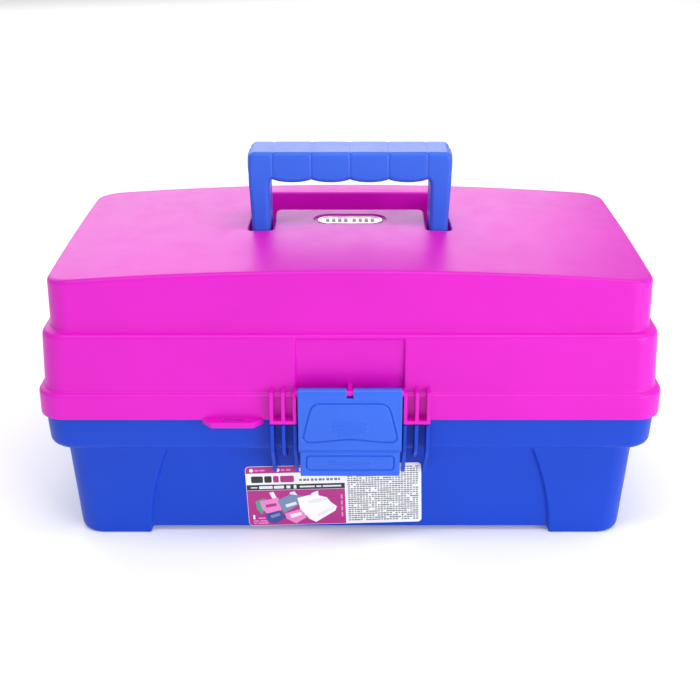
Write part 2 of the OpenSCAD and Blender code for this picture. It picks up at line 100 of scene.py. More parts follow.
class Value:
    """One socket of a shader graph, whose arithmetic adds Math nodes."""

    def __init__(self, graph: "Graph", socket: bpy.types.NodeSocket) -> None:
        """Keep the socket and the graph that it belongs to."""
        self.graph = graph
        self.socket = socket

    def _math(self, operation: str, first: object, second: object) -> "Value":
        """Add one Math node on two operands."""
        return self.graph.node("ShaderNodeMath", {"operation": operation}, {0: first, 1: second})

    def __add__(self, other: object) -> "Value":
        """Sum of two values."""
        return self._math("ADD", self, other)

    def __sub__(self, other: object) -> "Value":
        """Difference of two values."""
        return self._math("SUBTRACT", self, other)

    def __rsub__(self, other: object) -> "Value":
        """Difference with the value on the right."""
        return self._math("SUBTRACT", other, self)

    def __mul__(self, other: object) -> "Value":
        """Product of two values."""
        return self._math("MULTIPLY", self, other)

    __radd__ = __add__
    __rmul__ = __mul__


class Graph:
    """Node tree of one material, written as expressions."""

    def __init__(self, name: str) -> None:
        """Make an empty material with its output node.

        Args:
            name: Name of the material.
        """
        self.material = bpy.data.materials.new(name)
        self.material.use_nodes = True
        self.tree = self.material.node_tree
        self.tree.nodes.clear()
        self.output = self.tree.nodes.new("ShaderNodeOutputMaterial")

    def node(self, kind: str, settings: dict[str, object] | None = None,
             inputs: dict[int | str, object] | None = None, output: int | str = 0) -> Value:
        """Add one node.

        Args:
            kind: Blender's type name of the node.
            settings: Properties of the node, set before its sockets.
            inputs: Socket index or name to a value or a link.
            output: Index or name of the socket to return.

        Returns:
            The chosen output socket.
        """
        node = self.tree.nodes.new(kind)
        for key, setting in (settings or {}).items():
            setattr(node, key, setting)
        for key, value in (inputs or {}).items():
            if isinstance(value, Value):
                self.tree.links.new(value.socket, node.inputs[key])
            else:
                node.inputs[key].default_value = value
        return Value(self, node.outputs[output])

    def place(self) -> Value:
        """Object coordinates, in metres."""
        return self.node("ShaderNodeTexCoord", output="Object")

    def noise(self, scale: float, detail: float = 2.0, roughness: float = 0.5) -> Value:
        """Noise between 0 and 1 over the object's own space.

        Args:
            scale: Features per metre.
            detail: Octaves of finer noise.
            roughness: Strength of the finer octaves.

        Returns:
            The noise factor.
        """
        return self.node("ShaderNodeTexNoise", None, {
            "Vector": self.place(), "Scale": scale, "Detail": detail, "Roughness": roughness})

    def blend(self, factor: Value, low: Sequence[float], high: Sequence[float]) -> Value:
        """Colour between two colours.

        Args:
            factor: 0 gives low and 1 gives high.
            low: Linear RGB.
            high: Linear RGB.

        Returns:
            The mixed colour.
        """
        colours = {0: factor, 6: (*low, 1.0), 7: (*high, 1.0)}
        return self.node("ShaderNodeMix", {"data_type": "RGBA"}, colours, 2)

    def ramp(self, factor: Value, low: float, high: float) -> Value:
        """Stretch the range low to high of a factor to 0 to 1, clamped."""
        return self.node("ShaderNodeMapRange", {"clamp": True}, {
            "Value": factor, "From Min": low, "From Max": high})

    def bump(self, height: Value, distance: float, strength: float = 1.0) -> Value:
        """Normal that follows a height, whose value of 1 stands for a distance in metres."""
        return self.node("ShaderNodeBump", None, {
            "Strength": strength, "Distance": distance, "Height": height})

    def surface(self, inputs: dict[int | str, object]) -> bpy.types.Material:
        """Finish the material as one Principled surface.

        Args:
            inputs: Name of each of its inputs to a value or a link.

        Returns:
            The material.
        """
        shader = self.node("ShaderNodeBsdfPrincipled", None, inputs)
        self.tree.links.new(shader.socket, self.output.inputs["Surface"])
        return self.material


def shade(colour: Sequence[float], factor: float) -> tuple[float, float, float]:
    """Colour made lighter or darker, kept within 0 to 1."""
    return tuple(min(1.0, max(0.0, part * factor)) for part in colour[:3])


@dataclass(frozen=True)
class Plastic:
    """Satin moulded polypropylene: fine spark-eroded grain, faint flow mottling and handling marks."""

    name: str
    colour: tuple[float, float, float]
    roughness: float
    specular: float
    mottle: float = 0.05
    grain: float = 0.10

    def material(self) -> bpy.types.Material:
        """Build the finish.

        Returns:
            The material.
        """
        graph = Graph(self.name)
        flow = graph.noise(16.0, 3.0, 0.55)
        speckle = graph.noise(900.0, 2.0, 0.6)
        cloud = graph.ramp(flow * 0.8 + speckle * 0.2, 0.3, 0.7)
        darker, lighter = shade(self.colour, 1 - self.mottle), shade(self.colour, 1 + self.mottle)
        colour = graph.blend(cloud, darker, lighter)
        rubbed = graph.ramp(graph.noise(60.0, 6.0, 0.7), 0.45, 0.75)
        roughness = self.roughness + rubbed * 0.07 + speckle * 0.05
        pits = graph.noise(2600.0, 3.0, 0.6)
        ripple = graph.noise(45.0, 1.0, 0.4)
        bump = graph.bump(pits * (0.12 * self.grain) + ripple * 0.10, MM)
        return graph.surface({"Base Color": colour, "Roughness": roughness, "Normal": bump,
                              "Specular IOR Level": self.specular})


@dataclass(frozen=True)
class Metal:
    """Drawn steel pin stock with fine lengthwise scratches."""

    name: str
    colour: tuple[float, float, float] = (0.60, 0.61, 0.63)

    def material(self) -> bpy.types.Material:
        """Build the finish."""
        graph = Graph(self.name)
        stretched = graph.node("ShaderNodeMapping", None, {
            "Vector": graph.place(), "Scale": (150.0, 5000.0, 5000.0)})
        scratch = graph.node("ShaderNodeTexNoise", None, {"Vector": stretched, "Scale": 1.0, "Detail": 3.0})
        colour = graph.blend(graph.noise(400.0, 4.0), shade(self.colour, 0.8), shade(self.colour, 1.1))
        bump = graph.bump(scratch, 0.03 * MM, 0.4)
        return graph.surface({"Base Color": colour, "Metallic": 1.0, "Roughness": 0.22 + scratch * 0.2,
                              "Normal": bump})


@dataclass(frozen=True)
class Ink:
    """Printed paper: coated stock with a film of ink, slightly uneven as offset print is."""

    name: str
    colour: tuple[float, float, float]
    roughness: float = 0.42

    def material(self) -> bpy.types.Material:
        """Build the finish."""
        graph = Graph(self.name)
        uneven = graph.ramp(graph.noise(1400.0, 3.0, 0.7), 0.3, 0.7)
        colour = graph.blend(uneven, shade(self.colour, 0.93), shade(self.colour, 1.05))
        fibre = graph.noise(5200.0, 2.0, 0.7)
        bump = graph.bump(fibre, 0.03 * MM, 0.5)
        return graph.surface({"Base Color": colour, "Roughness": self.roughness + fibre * 0.1, "Normal": bump,
                              "Coat Weight": 0.25})


@dataclass(frozen=True)
class Pearl:
    """Pearly foil plate whose tint drifts from rose to pale gold along its length."""

    name: str
    rose: tuple[float, float, float] = (0.66, 0.20, 0.52)
    gold: tuple[float, float, float] = (0.80, 0.56, 0.44)

    def material(self) -> bpy.types.Material:
        """Build the finish."""
        graph = Graph(self.name)
        drift = graph.noise(70.0, 3.0, 0.6)
        colour = graph.blend(graph.ramp(drift, 0.38, 0.62), self.rose, self.gold)
        fleck = graph.noise(3000.0, 2.0, 0.6)
        bump = graph.bump(fleck, 0.04 * MM, 0.4)
        return graph.surface({"Base Color": colour, "Metallic": 0.55, "Roughness": 0.22 + fleck * 0.12,
                              "Normal": bump, "Coat Weight": 0.6})


@dataclass(frozen=True)
class Palette:
    """Every finish of the box, built once."""

    tub: bpy.types.Material
    lid: bpy.types.Material
    latch: bpy.types.Material
    tray: bpy.types.Material
    metal: bpy.types.Material
    badge: bpy.types.Material
    inks: dict[str, bpy.types.Material]

    @classmethod
    def build(cls) -> "Palette":
        """Build the materials.

        Returns:
            The palette.
        """
        inks = {
            "sheet": (0.86, 0.87, 0.88), "magenta": (0.42, 0.008, 0.21), "black": (0.012, 0.012, 0.014),
            "dark": (0.07, 0.07, 0.08), "grey": (0.16, 0.17, 0.18), "green": (0.05, 0.35, 0.22),
            "navy": (0.02, 0.05, 0.30), "steel": (0.16, 0.24, 0.42), "rose": (0.80, 0.22, 0.55),
            "pale": (0.74, 0.78, 0.84), "white": (0.90, 0.90, 0.91)}
        return cls(
            tub=Plastic("moulded_blue", (0.002, 0.052, 0.53), 0.38, 0.26).material(),
            lid=Plastic("moulded_pink", (0.655, 0.003, 0.505), 0.36, 0.32).material(),
            latch=Plastic("moulded_bright_blue", (0.026, 0.122, 0.68), 0.34, 0.34).material(),
            tray=Plastic("moulded_tray_blue", (0.06, 0.16, 0.74), 0.36, 0.4).material(),
            metal=Metal("drawn_steel").material(),
            badge=Pearl("pearl_foil").material(),
            inks={name: Ink("ink_" + name, colour).material() for name, colour in inks.items()})


# ---- Outlines and skins ----


def smooth(value: float) -> float:
    """Smooth step of a value clamped to 0 to 1."""
    value = min(1.0, max(0.0, value))
    return value * value * (3 - 2 * value)


def rounded_polygon(corners: Sequence[Corner], grow: float = 0.0, steps: int = 5) -> Points:
    """Counter-clockwise polygon with rounded corners, moved outwards.

    Args:
        corners: Each corner's two coordinates and its radius.
        grow: Distance that every edge moves outwards; negative shrinks the outline.
        steps: Segments in each corner.

    Returns:
        Points, steps + 1 for each corner.
    """
    count = len(corners)
    points: list[Point2] = []
    for i, (u, v, radius) in enumerate(corners):
        here = np.array((u, v))
        before = here - np.array(corners[i - 1][:2])
        after = np.array(corners[(i + 1) % count][:2]) - here
        before /= np.linalg.norm(before)
        after /= np.linalg.norm(after)
        normal_in = np.array((before[1], -before[0]))
        normal_out = np.array((after[1], -after[0]))
        mitre = here + grow * (normal_in + normal_out) / (1 + normal_in @ normal_out)
        cross = before[0] * after[1] - before[1] * after[0]
        side = 1 if cross > 0 else -1
        r = max(0.03, radius + side * grow)
        turn = math.atan2(cross, before @ after)
        start = mitre - before * r * math.tan(abs(turn) / 2)
        centre = start - side * normal_in * r
        first = math.atan2(*(start - centre)[::-1])
        for k in range(steps + 1):
            angle = first + turn * k / steps
            points.append((centre[0] + r * math.cos(angle), centre[1] + r * math.sin(angle)))
    return np.array(points)


def box_corners(u0: float, v0: float, u1: float, v1: float, radius: float) -> list[Corner]:
    """Corners of a rectangle, counter-clockwise, all with one radius."""
    return [(u0, v0, radius), (u1, v0, radius), (u1, v1, radius), (u0, v1, radius)]


def circle(u: float, v: float, radius: float, steps: int = 40) -> Points:
    """Points of a circle, counter-clockwise."""
    angles = np.arange(steps) * 2 * math.pi / steps
    return np.stack([u + radius * np.cos(angles), v + radius * np.sin(angles)], 1)


def extruded(points: Points, axis: int, along: float) -> Points:
    """Outline at one height along an axis; it is drawn in the other two, in X, Y, Z order."""
    return np.insert(points, axis, along, axis=1)


def soft_ends(low: float, high: float, bevel: float) -> list[Point2]:
    """Heights of an extrusion with softened edges, each with how far the outline grows there."""
    return [(low, -bevel), (low + 0.3 * bevel, -0.3 * bevel), (low + bevel, 0.0),
            (high - bevel, 0.0), (high - 0.3 * bevel, -0.3 * bevel), (high, -bevel)]


def level_at(z: float) -> Callable[[float, float], tuple[float, float, float]]:
    """Lift of a level face, for Skin.cap."""
    return lambda x, y: (x, y, z)


def mirrored(x0: float, x1: float) -> list[tuple[float, float]]:
    """Low and high end of a stretch along X, on the left side and on the right."""
    return [(-x1, -x0), (x0, x1)]


def inside(points: Points, loop: Points) -> np.ndarray:
    """Which points lie inside a closed loop."""
    result = np.zeros(len(points), bool)
    u, v = points[:, 0], points[:, 1]
    for (u0, v0), (u1, v1) in zip(loop, np.roll(loop, -1, axis=0)):
        crosses = (v0 > v) != (v1 > v)
        rise = (v1 - v0) if v1 != v0 else 1e-12
        result ^= crosses & (u < (u1 - u0) * (v - v0) / rise + u0)
    return result


class Skin:
    """Vertices and faces of one closed moulding, in millimetres."""

    def __init__(self) -> None:
        """Start an empty skin."""
        self.points: list[tuple[float, float, float]] = []
        self.faces: list[tuple[int, ...]] = []
        self.marks: list[int] = []
        self.mark = 0

    def _face(self, ids: tuple[int, ...]) -> None:
        """Add one face with the current material index."""
        self.faces.append(ids)
        self.marks.append(self.mark)

    def ring(self, points: Sequence[Sequence[float]]) -> list[int]:
        """Add a closed ring of points and return their indices."""
        first = len(self.points)
        self.points.extend(tuple(float(part) for part in point) for point in points)
        return list(range(first, len(self.points)))

    def bridge(self, low: list[int], high: list[int]) -> None:
        """Join two rings that have the same number of points."""
        for i, (a, b) in enumerate(zip(low, high)):
            self._face((low[i - 1], a, b, high[i - 1]))

    def stack(self, rings: Sequence[Sequence[Sequence[float]]]) -> tuple[list[int], list[int]]:
        """Add rings joined one to the next.

        Args:
            rings: Rings of points, all of one length.

        Returns:
            Indices of the first and the last ring.
        """
        ids = [self.ring(points) for points in rings]
        for low, high in zip(ids, ids[1:]):
            self.bridge(low, high)
        return ids[0], ids[-1]

    def tower(self, corners: Sequence[Corner], levels: Sequence[Point2],
              steps: int) -> tuple[list[int], list[int]]:
        """Stack one rounded outline at several heights.

        Args:
            corners: The outline's corners with their radii.
            levels: Each height, with how far the outline grows there.
            steps: Segments in each corner.

        Returns:
            Indices of the first and the last ring.
        """
        return self.stack([[(x, y, z) for x, y in rounded_polygon(corners, grow, steps)]
                           for z, grow in levels])

    def cap(self, outer: list[int], holes: Sequence[list[int]],
            lift: Callable[[float, float], Sequence[float]], axes: tuple[int, int] = (0, 1),
            pitch: float = 0.0, lines: Sequence[tuple[Point2, Point2]] = ()) -> None:
        """Fill the face between an outer ring and the rings of its holes.

        Args:
            outer: Indices of the outer ring.
            holes: Indices of each hole's ring.
            lift: Place in space of a point of the flat outline.
            axes: The two axes in which the outline is drawn.
            pitch: Spacing of extra points inside, or 0 for none.
            lines: Extra edges that the face must have.
        """
        loops = [outer, *holes]
        flat = [np.array([[self.points[i][axis] for axis in axes] for i in loop]) for loop in loops]
        ids = [i for loop in loops for i in loop]
        verts = [Vector(point) for loop in flat for point in loop]
        edges = []
        start = 0
        for loop in loops:
            edges += [(start + i, start + (i + 1) % len(loop)) for i in range(len(loop))]
            start += len(loop)
        for a, b in lines:
            edges.append((len(verts), len(verts) + 1))
            verts += [Vector(a), Vector(b)]
        if pitch > 0:
            low, high = flat[0].min(0), flat[0].max(0)
            grid = np.array([(u, v) for u in np.arange(low[0] + pitch / 2, high[0], pitch)
                             for v in np.arange(low[1] + pitch / 2, high[1], pitch)])
            keep = inside(grid, flat[0])
            for loop in flat[1:]:
                keep &= ~inside(grid, loop)
            verts += [Vector(point) for point in grid[keep]]
        out, _, triangles, origins, _, _ = delaunay_2d_cdt(verts, edges, [], 1, 1e-5)
        middle = np.array([(out[a] + out[b] + out[c]) / 3 for a, b, c in triangles])
        keep = np.ones(len(middle), bool)
        for loop in flat[1:]:
            keep &= ~inside(middle, loop)
        place: dict[int, int] = {}
        for i, point in enumerate(out):
            known = [o for o in origins[i] if o < len(ids)]
            place[i] = ids[known[0]] if known else self.ring([lift(point.x, point.y)])[0]
        for triangle, wanted in zip(triangles, keep):
            if wanted:
                self._face(tuple(place[i] for i in triangle))

    def prism(self, axis: int, low: float, high: float, corners: Sequence[Corner], bevel: float = 0.4,
              bores: Sequence[tuple[float, float, float]] = (), steps: int = 5) -> None:
        """Add a closed extrusion with softened edges.

        Args:
            axis: Axis of extrusion; the outline is drawn in the other two, in X, Y, Z order.
            low: Lower end.
            high: Upper end.
            corners: Outline with its corner radii, counter-clockwise.
            bevel: Size of the softened edge.
            bores: Centre and radius of each hole that goes through.
            steps: Segments in each corner.
        """
        axes = [(1, 2), (0, 2), (0, 1)][axis]
        first, last = self.stack([extruded(rounded_polygon(corners, grow, steps), axis, along)
                                  for along, grow in soft_ends(low, high, bevel)])
        tubes = []
        for u, v, radius in bores:
            soft = min(0.2, bevel)
            sizes = [(low, radius + soft), (low + soft, radius), (high - soft, radius), (high, radius + soft)]
            tubes.append(self.stack([extruded(circle(u, v, r), axis, along) for along, r in sizes]))
        for end, ring, along in ((0, first, low), (1, last, high)):
            self.cap(ring, [tube[end] for tube in tubes],
                     lambda u, v, at=along: extruded(np.array([(u, v)]), axis, at)[0], axes)

    def rod(self, axis: int, low: float, high: float, u: float, v: float, radius: float,
            bevel: float = 0.3) -> None:
        """Add a round bar with softened ends along one axis."""
        for ids in self.stack([extruded(circle(u, v, radius + grow), axis, along)
                               for along, grow in soft_ends(low, high, bevel)]):
            self._face(tuple(ids))

    def make(self, name: str, materials: Sequence[bpy.types.Material], sharp: float = 40.0,
             place: Matrix | None = None) -> bpy.types.Object:
        """Turn the skin into an object with clean outward normals.

        Args:
            name: Name of the object.
            materials: Materials that the faces' marks point to.
            sharp: Angle in degrees above which an edge stays crisp.
            place: Where the skin goes, if it was drawn somewhere else, in millimetres.

        Returns:
            The object, at the origin.
        """
        mesh = bpy.data.meshes.new(name)
        mesh.from_pydata([Vector(point) * MM for point in self.points], [], self.faces)
        mesh.polygons.foreach_set("material_index", self.marks)
        if place is not None:
            mesh.transform(Matrix.Scale(MM, 4) @ place @ Matrix.Scale(1 / MM, 4))
        shell = bmesh.new()
        shell.from_mesh(mesh)
        bmesh.ops.remove_doubles(shell, verts=shell.verts, dist=2e-6)
        bmesh.ops.dissolve_degenerate(shell, edges=shell.edges, dist=1e-7)
        bmesh.ops.recalc_face_normals(shell, faces=shell.faces)
        open_edges = sum(1 for edge in shell.edges if len(edge.link_faces) != 2)
        shell.to_mesh(mesh)
        shell.free()
        for material in materials:
            mesh.materials.append(material)
        mesh.shade_smooth()
        mesh.set_sharp_from_angle(angle=math.radians(sharp))
        piece = bpy.data.objects.new(name, mesh)
        bpy.context.scene.collection.objects.link(piece)
        weighted = piece.modifiers.new("face_weights", "WEIGHTED_NORMAL")
        weighted.keep_sharp = True
        bake_modifiers(piece)
        LOG.info("%s: %d faces, %d open edges", name, len(piece.data.polygons), open_edges)
        return piece


def bake_modifiers(piece: bpy.types.Object) -> None:
    """Replace an object's mesh with its evaluated mesh and drop its modifiers."""
    graph = bpy.context.evaluated_depsgraph_get()
    result = bpy.data.meshes.new_from_object(
        piece.evaluated_get(graph), preserve_all_data_layers=True, depsgraph=graph)
    result.name = piece.name
    piece.modifiers.clear()
    old = piece.data
    piece.data = result
    bpy.data.meshes.remove(old)


# ---- Geometry Nodes ----


class Tree:
    """One geometry node tree with named inputs."""

    def __init__(self, name: str) -> None:
        """Make the tree with a geometry input and output."""
        self.tree = bpy.data.node_groups.new(name, "GeometryNodeTree")
        self.tree.interface.new_socket("Geometry", in_out="OUTPUT", socket_type="NodeSocketGeometry")
        self.tree.interface.new_socket("Geometry", in_out="INPUT", socket_type="NodeSocketGeometry")
        self.start = self.tree.nodes.new("NodeGroupInput")
        self.end = self.tree.nodes.new("NodeGroupOutput")

    def input(self, name: str, kind: str) -> tuple[bpy.types.Node, str]:
        """Add a named input of a socket type such as Float, Int, Vector or Material."""
        self.tree.interface.new_socket(name, in_out="INPUT", socket_type="NodeSocket" + kind)
        return self.start, name

    def node(self, kind: str, settings: dict[str, object] | None = None,
             inputs: dict[int | str, object] | None = None) -> bpy.types.Node:
        """Add one node and set or link its inputs.

        Args:
            kind: Blender's type name of the node.
            settings: Properties of the node.
            inputs: Socket index or name to a value, or a pair of a node and its output's index or name.

        Returns:
            The node.
        """
        node = self.tree.nodes.new(kind)
        for key, setting in (settings or {}).items():
            setattr(node, key, setting)
        for key, value in (inputs or {}).items():
            if isinstance(value, tuple) and value and isinstance(value[0], bpy.types.Node):
                self.tree.links.new(value[0].outputs[value[1]], node.inputs[key])
            else:
                node.inputs[key].default_value = value
        return node

    def finish(self, geometry: bpy.types.Node, material: tuple[bpy.types.Node, str]) -> None:
        """Realize the instances, set the material and link the output."""
        real = self.node("GeometryNodeRealizeInstances", None, {"Geometry": (geometry, 0)})
        dressed = self.node("GeometryNodeSetMaterial", None, {"Geometry": (real, 0), "Material": material})
        self.tree.links.new(dressed.outputs[0], self.end.inputs[0])

    def apply(self, piece: bpy.types.Object, values: dict[str, object]) -> None:
        """Run the tree on an object and keep the result as a plain mesh.

        Args:
            piece: Object whose mesh is the tree's input.
            values: Input name to value.
        """
        modifier = piece.modifiers.new("nodes", "NODES")
        modifier.node_group = self.tree
        for item in self.tree.interface.items_tree:
            if item.in_out == "INPUT" and item.name in values:
                modifier[item.identifier] = values[item.name]
        bake_modifiers(piece)


def row_tree() -> Tree:
    """Tree that repeats its input in a row and mirrors the row to the other side of the middle."""
    tree = Tree("row_of_copies")
    count = tree.input("Count", "Int")
    pitch = tree.input("Pitch", "Vector")
    mirror = tree.input("Mirror Shift", "Vector")
    material = tree.input("Material", "Material")
    line = tree.node("GeometryNodeMeshLine", {"mode": "OFFSET"}, {"Count": count, "Offset": pitch})
    back = tree.node("ShaderNodeVectorMath", {"operation": "SCALE"}, {0: pitch, "Scale": -1.0})
    other = tree.node("GeometryNodeMeshLine", {"mode": "OFFSET"},
                      {"Count": count, "Start Location": mirror, "Offset": (back, 0)})
    points = tree.node("GeometryNodeJoinGeometry")
    tree.tree.links.new(line.outputs[0], points.inputs[0])
    tree.tree.links.new(other.outputs[0], points.inputs[0])
    copies = tree.node("GeometryNodeInstanceOnPoints", None, {
        "Points": (points, 0), "Instance": (tree.start, 0)})
    tree.finish(copies, material)
    return tree


def words_tree() -> Tree:
    """Tree that fills a block with rows of short bars of random length, as unreadable fine print."""
    tree = Tree("rows_of_bars")
    columns = tree.input("Columns", "Int")
    rows = tree.input("Rows", "Int")
    width = tree.input("Width", "Float")
    height = tree.input("Height", "Float")
    material = tree.input("Material", "Material")
    grid = tree.node("GeometryNodeMeshGrid", None, {
        "Size X": width, "Size Y": height, "Vertices X": columns, "Vertices Y": rows})
    length = tree.node("FunctionNodeRandomValue", {"data_type": "FLOAT"}, {2: 0.55, 3: 1.12, "Seed": 11})
    gap = tree.node("FunctionNodeRandomValue", {"data_type": "FLOAT"}, {2: 0.0, 3: 1.0, "Seed": 4})
    keep = tree.node("FunctionNodeCompare", {"data_type": "FLOAT", "operation": "GREATER_THAN"}, {
        0: (gap, 1), 1: 0.07})
    scale = tree.node("ShaderNodeCombineXYZ", None, {"X": (length, 1), "Y": 1.0, "Z": 1.0})
    copies = tree.node("GeometryNodeInstanceOnPoints", None, {
        "Points": (grid, 0), "Selection": (keep, 0), "Instance": (tree.start, 0), "Scale": (scale, 0)})
    tree.finish(copies, material)
    return tree


# ---- The box ----


@dataclass
class Frame:
    """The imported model, and the sizes that follow from it."""

    data: dict
    hinge: Point2 = (0.0, 0.0)
    half_w: float = 0.0
    half_d: float = 0.0
    lid_z: float = 0.0
    ledge_z: float = 0.0
    tier_z: float = 0.0
    corner_z: float = 0.0
    arch_h: float = 6.5
    crown: Point2 = (0.4, 1.8)
    wall: float = 1.8
    hinge_x: float = 95.0
    hinge_r: float = 3.9
    boss_r: float = 5.0
    catch_drop: float = 31.2
    band_inset: float = 3.9

    @classmethod
    def load(cls) -> "Frame":
        """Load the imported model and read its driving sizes.

        Returns:
            The frame.
        """
        frame = cls(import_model())
        frame.hinge = frame.pivot("lid_hinge")
        frame.half_w = frame.box("lid_shell")[1].x
        frame.half_d = frame.hinge[0] - 4.5
        frame.lid_z = frame.hinge[1] - 2.5
        frame.ledge_z = frame.lid_z + 15.5
        frame.tier_z = frame.ledge_z + 34.5
        frame.corner_z = frame.pivot("handle_fold")[1] + 8.0
        return frame

    def pivot(self, joint: str) -> Point2:
        """Y and Z of a joint's axis, in millimetres."""
        place = next(entry["pos_m"] for entry in self.data["joints"] if entry["name"] == joint)
        return place[1] / MM, place[2] / MM

    @property
    def catch_z(self) -> float:
        """Height of the rib on the tub that the latch's hook goes under."""
        return self.pivot("latch_swing")[1] - self.catch_drop

    def box(self, node: str) -> tuple[Vector, Vector]:
        """Lowest and highest corner of a CAD node, in millimetres."""
        low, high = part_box(node)
        return low / MM, high / MM

    def top(self, x: float, y: float = 0.0) -> float:
        """Height of the lid top, arched along its width and slightly crowned along its depth."""
        half = self.half_w - 9.5
        radius = (half * half + self.arch_h * self.arch_h) / (2 * self.arch_h)
        arch = self.corner_z + self.arch_h - radius + math.sqrt(radius * radius - min(x * x, half * half))
        return arch + self.crown[0] - self.crown[1] * (y / self.half_d) ** 2


def attach(piece: bpy.types.Object, body: str, slot: Slot, *nodes: str) -> bpy.types.Object:
    """Ride a piece on its body and hide the CAD nodes that it stands for.

    Args:
        piece: The finished piece.
        body: CAD body that carries it.
        slot: Material slot of the record; not used.
        nodes: CAD nodes that it replaces.

    Returns:
        The piece.
    """
    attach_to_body(piece, body)
    if nodes:
        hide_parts(*nodes)
    LOG.info("%s rides on %s", piece.name, body)
    return piece


def plan(half_x: float, half_y: float, radius: float, xs: Sequence[float], ys: Sequence[float],
         steps: int = 12) -> Points:
    """Rounded rectangle with chosen columns on its straight sides, counter-clockwise from the front left.

    Args:
        half_x: Half width.
        half_y: Half depth.
        radius: Corner radius.
        xs: Places of the columns along the front and back.
        ys: Places of the columns along the two ends.
        steps: Segments in each corner.

    Returns:
        The points.
    """
    cx, cy = half_x - radius, half_y - radius

    def arc(x: float, y: float, start: float) -> list[Point2]:
        """Quarter circle from a start angle in degrees."""
        turns = [math.radians(start + 90 * k / steps) for k in range(steps + 1)]
        return [(x + radius * math.cos(a), y + radius * math.sin(a)) for a in turns]

    points = [(x, -half_y) for x in xs] + arc(cx, -cy, -90)
    points += [(half_x, y) for y in ys] + arc(cx, cy, 0)
    points += [(x, half_y) for x in reversed(xs)] + arc(-cx, cy, 90)
    points += [(-half_x, y) for y in reversed(ys)] + arc(-cx, -cy, 180)
    return np.array(points)


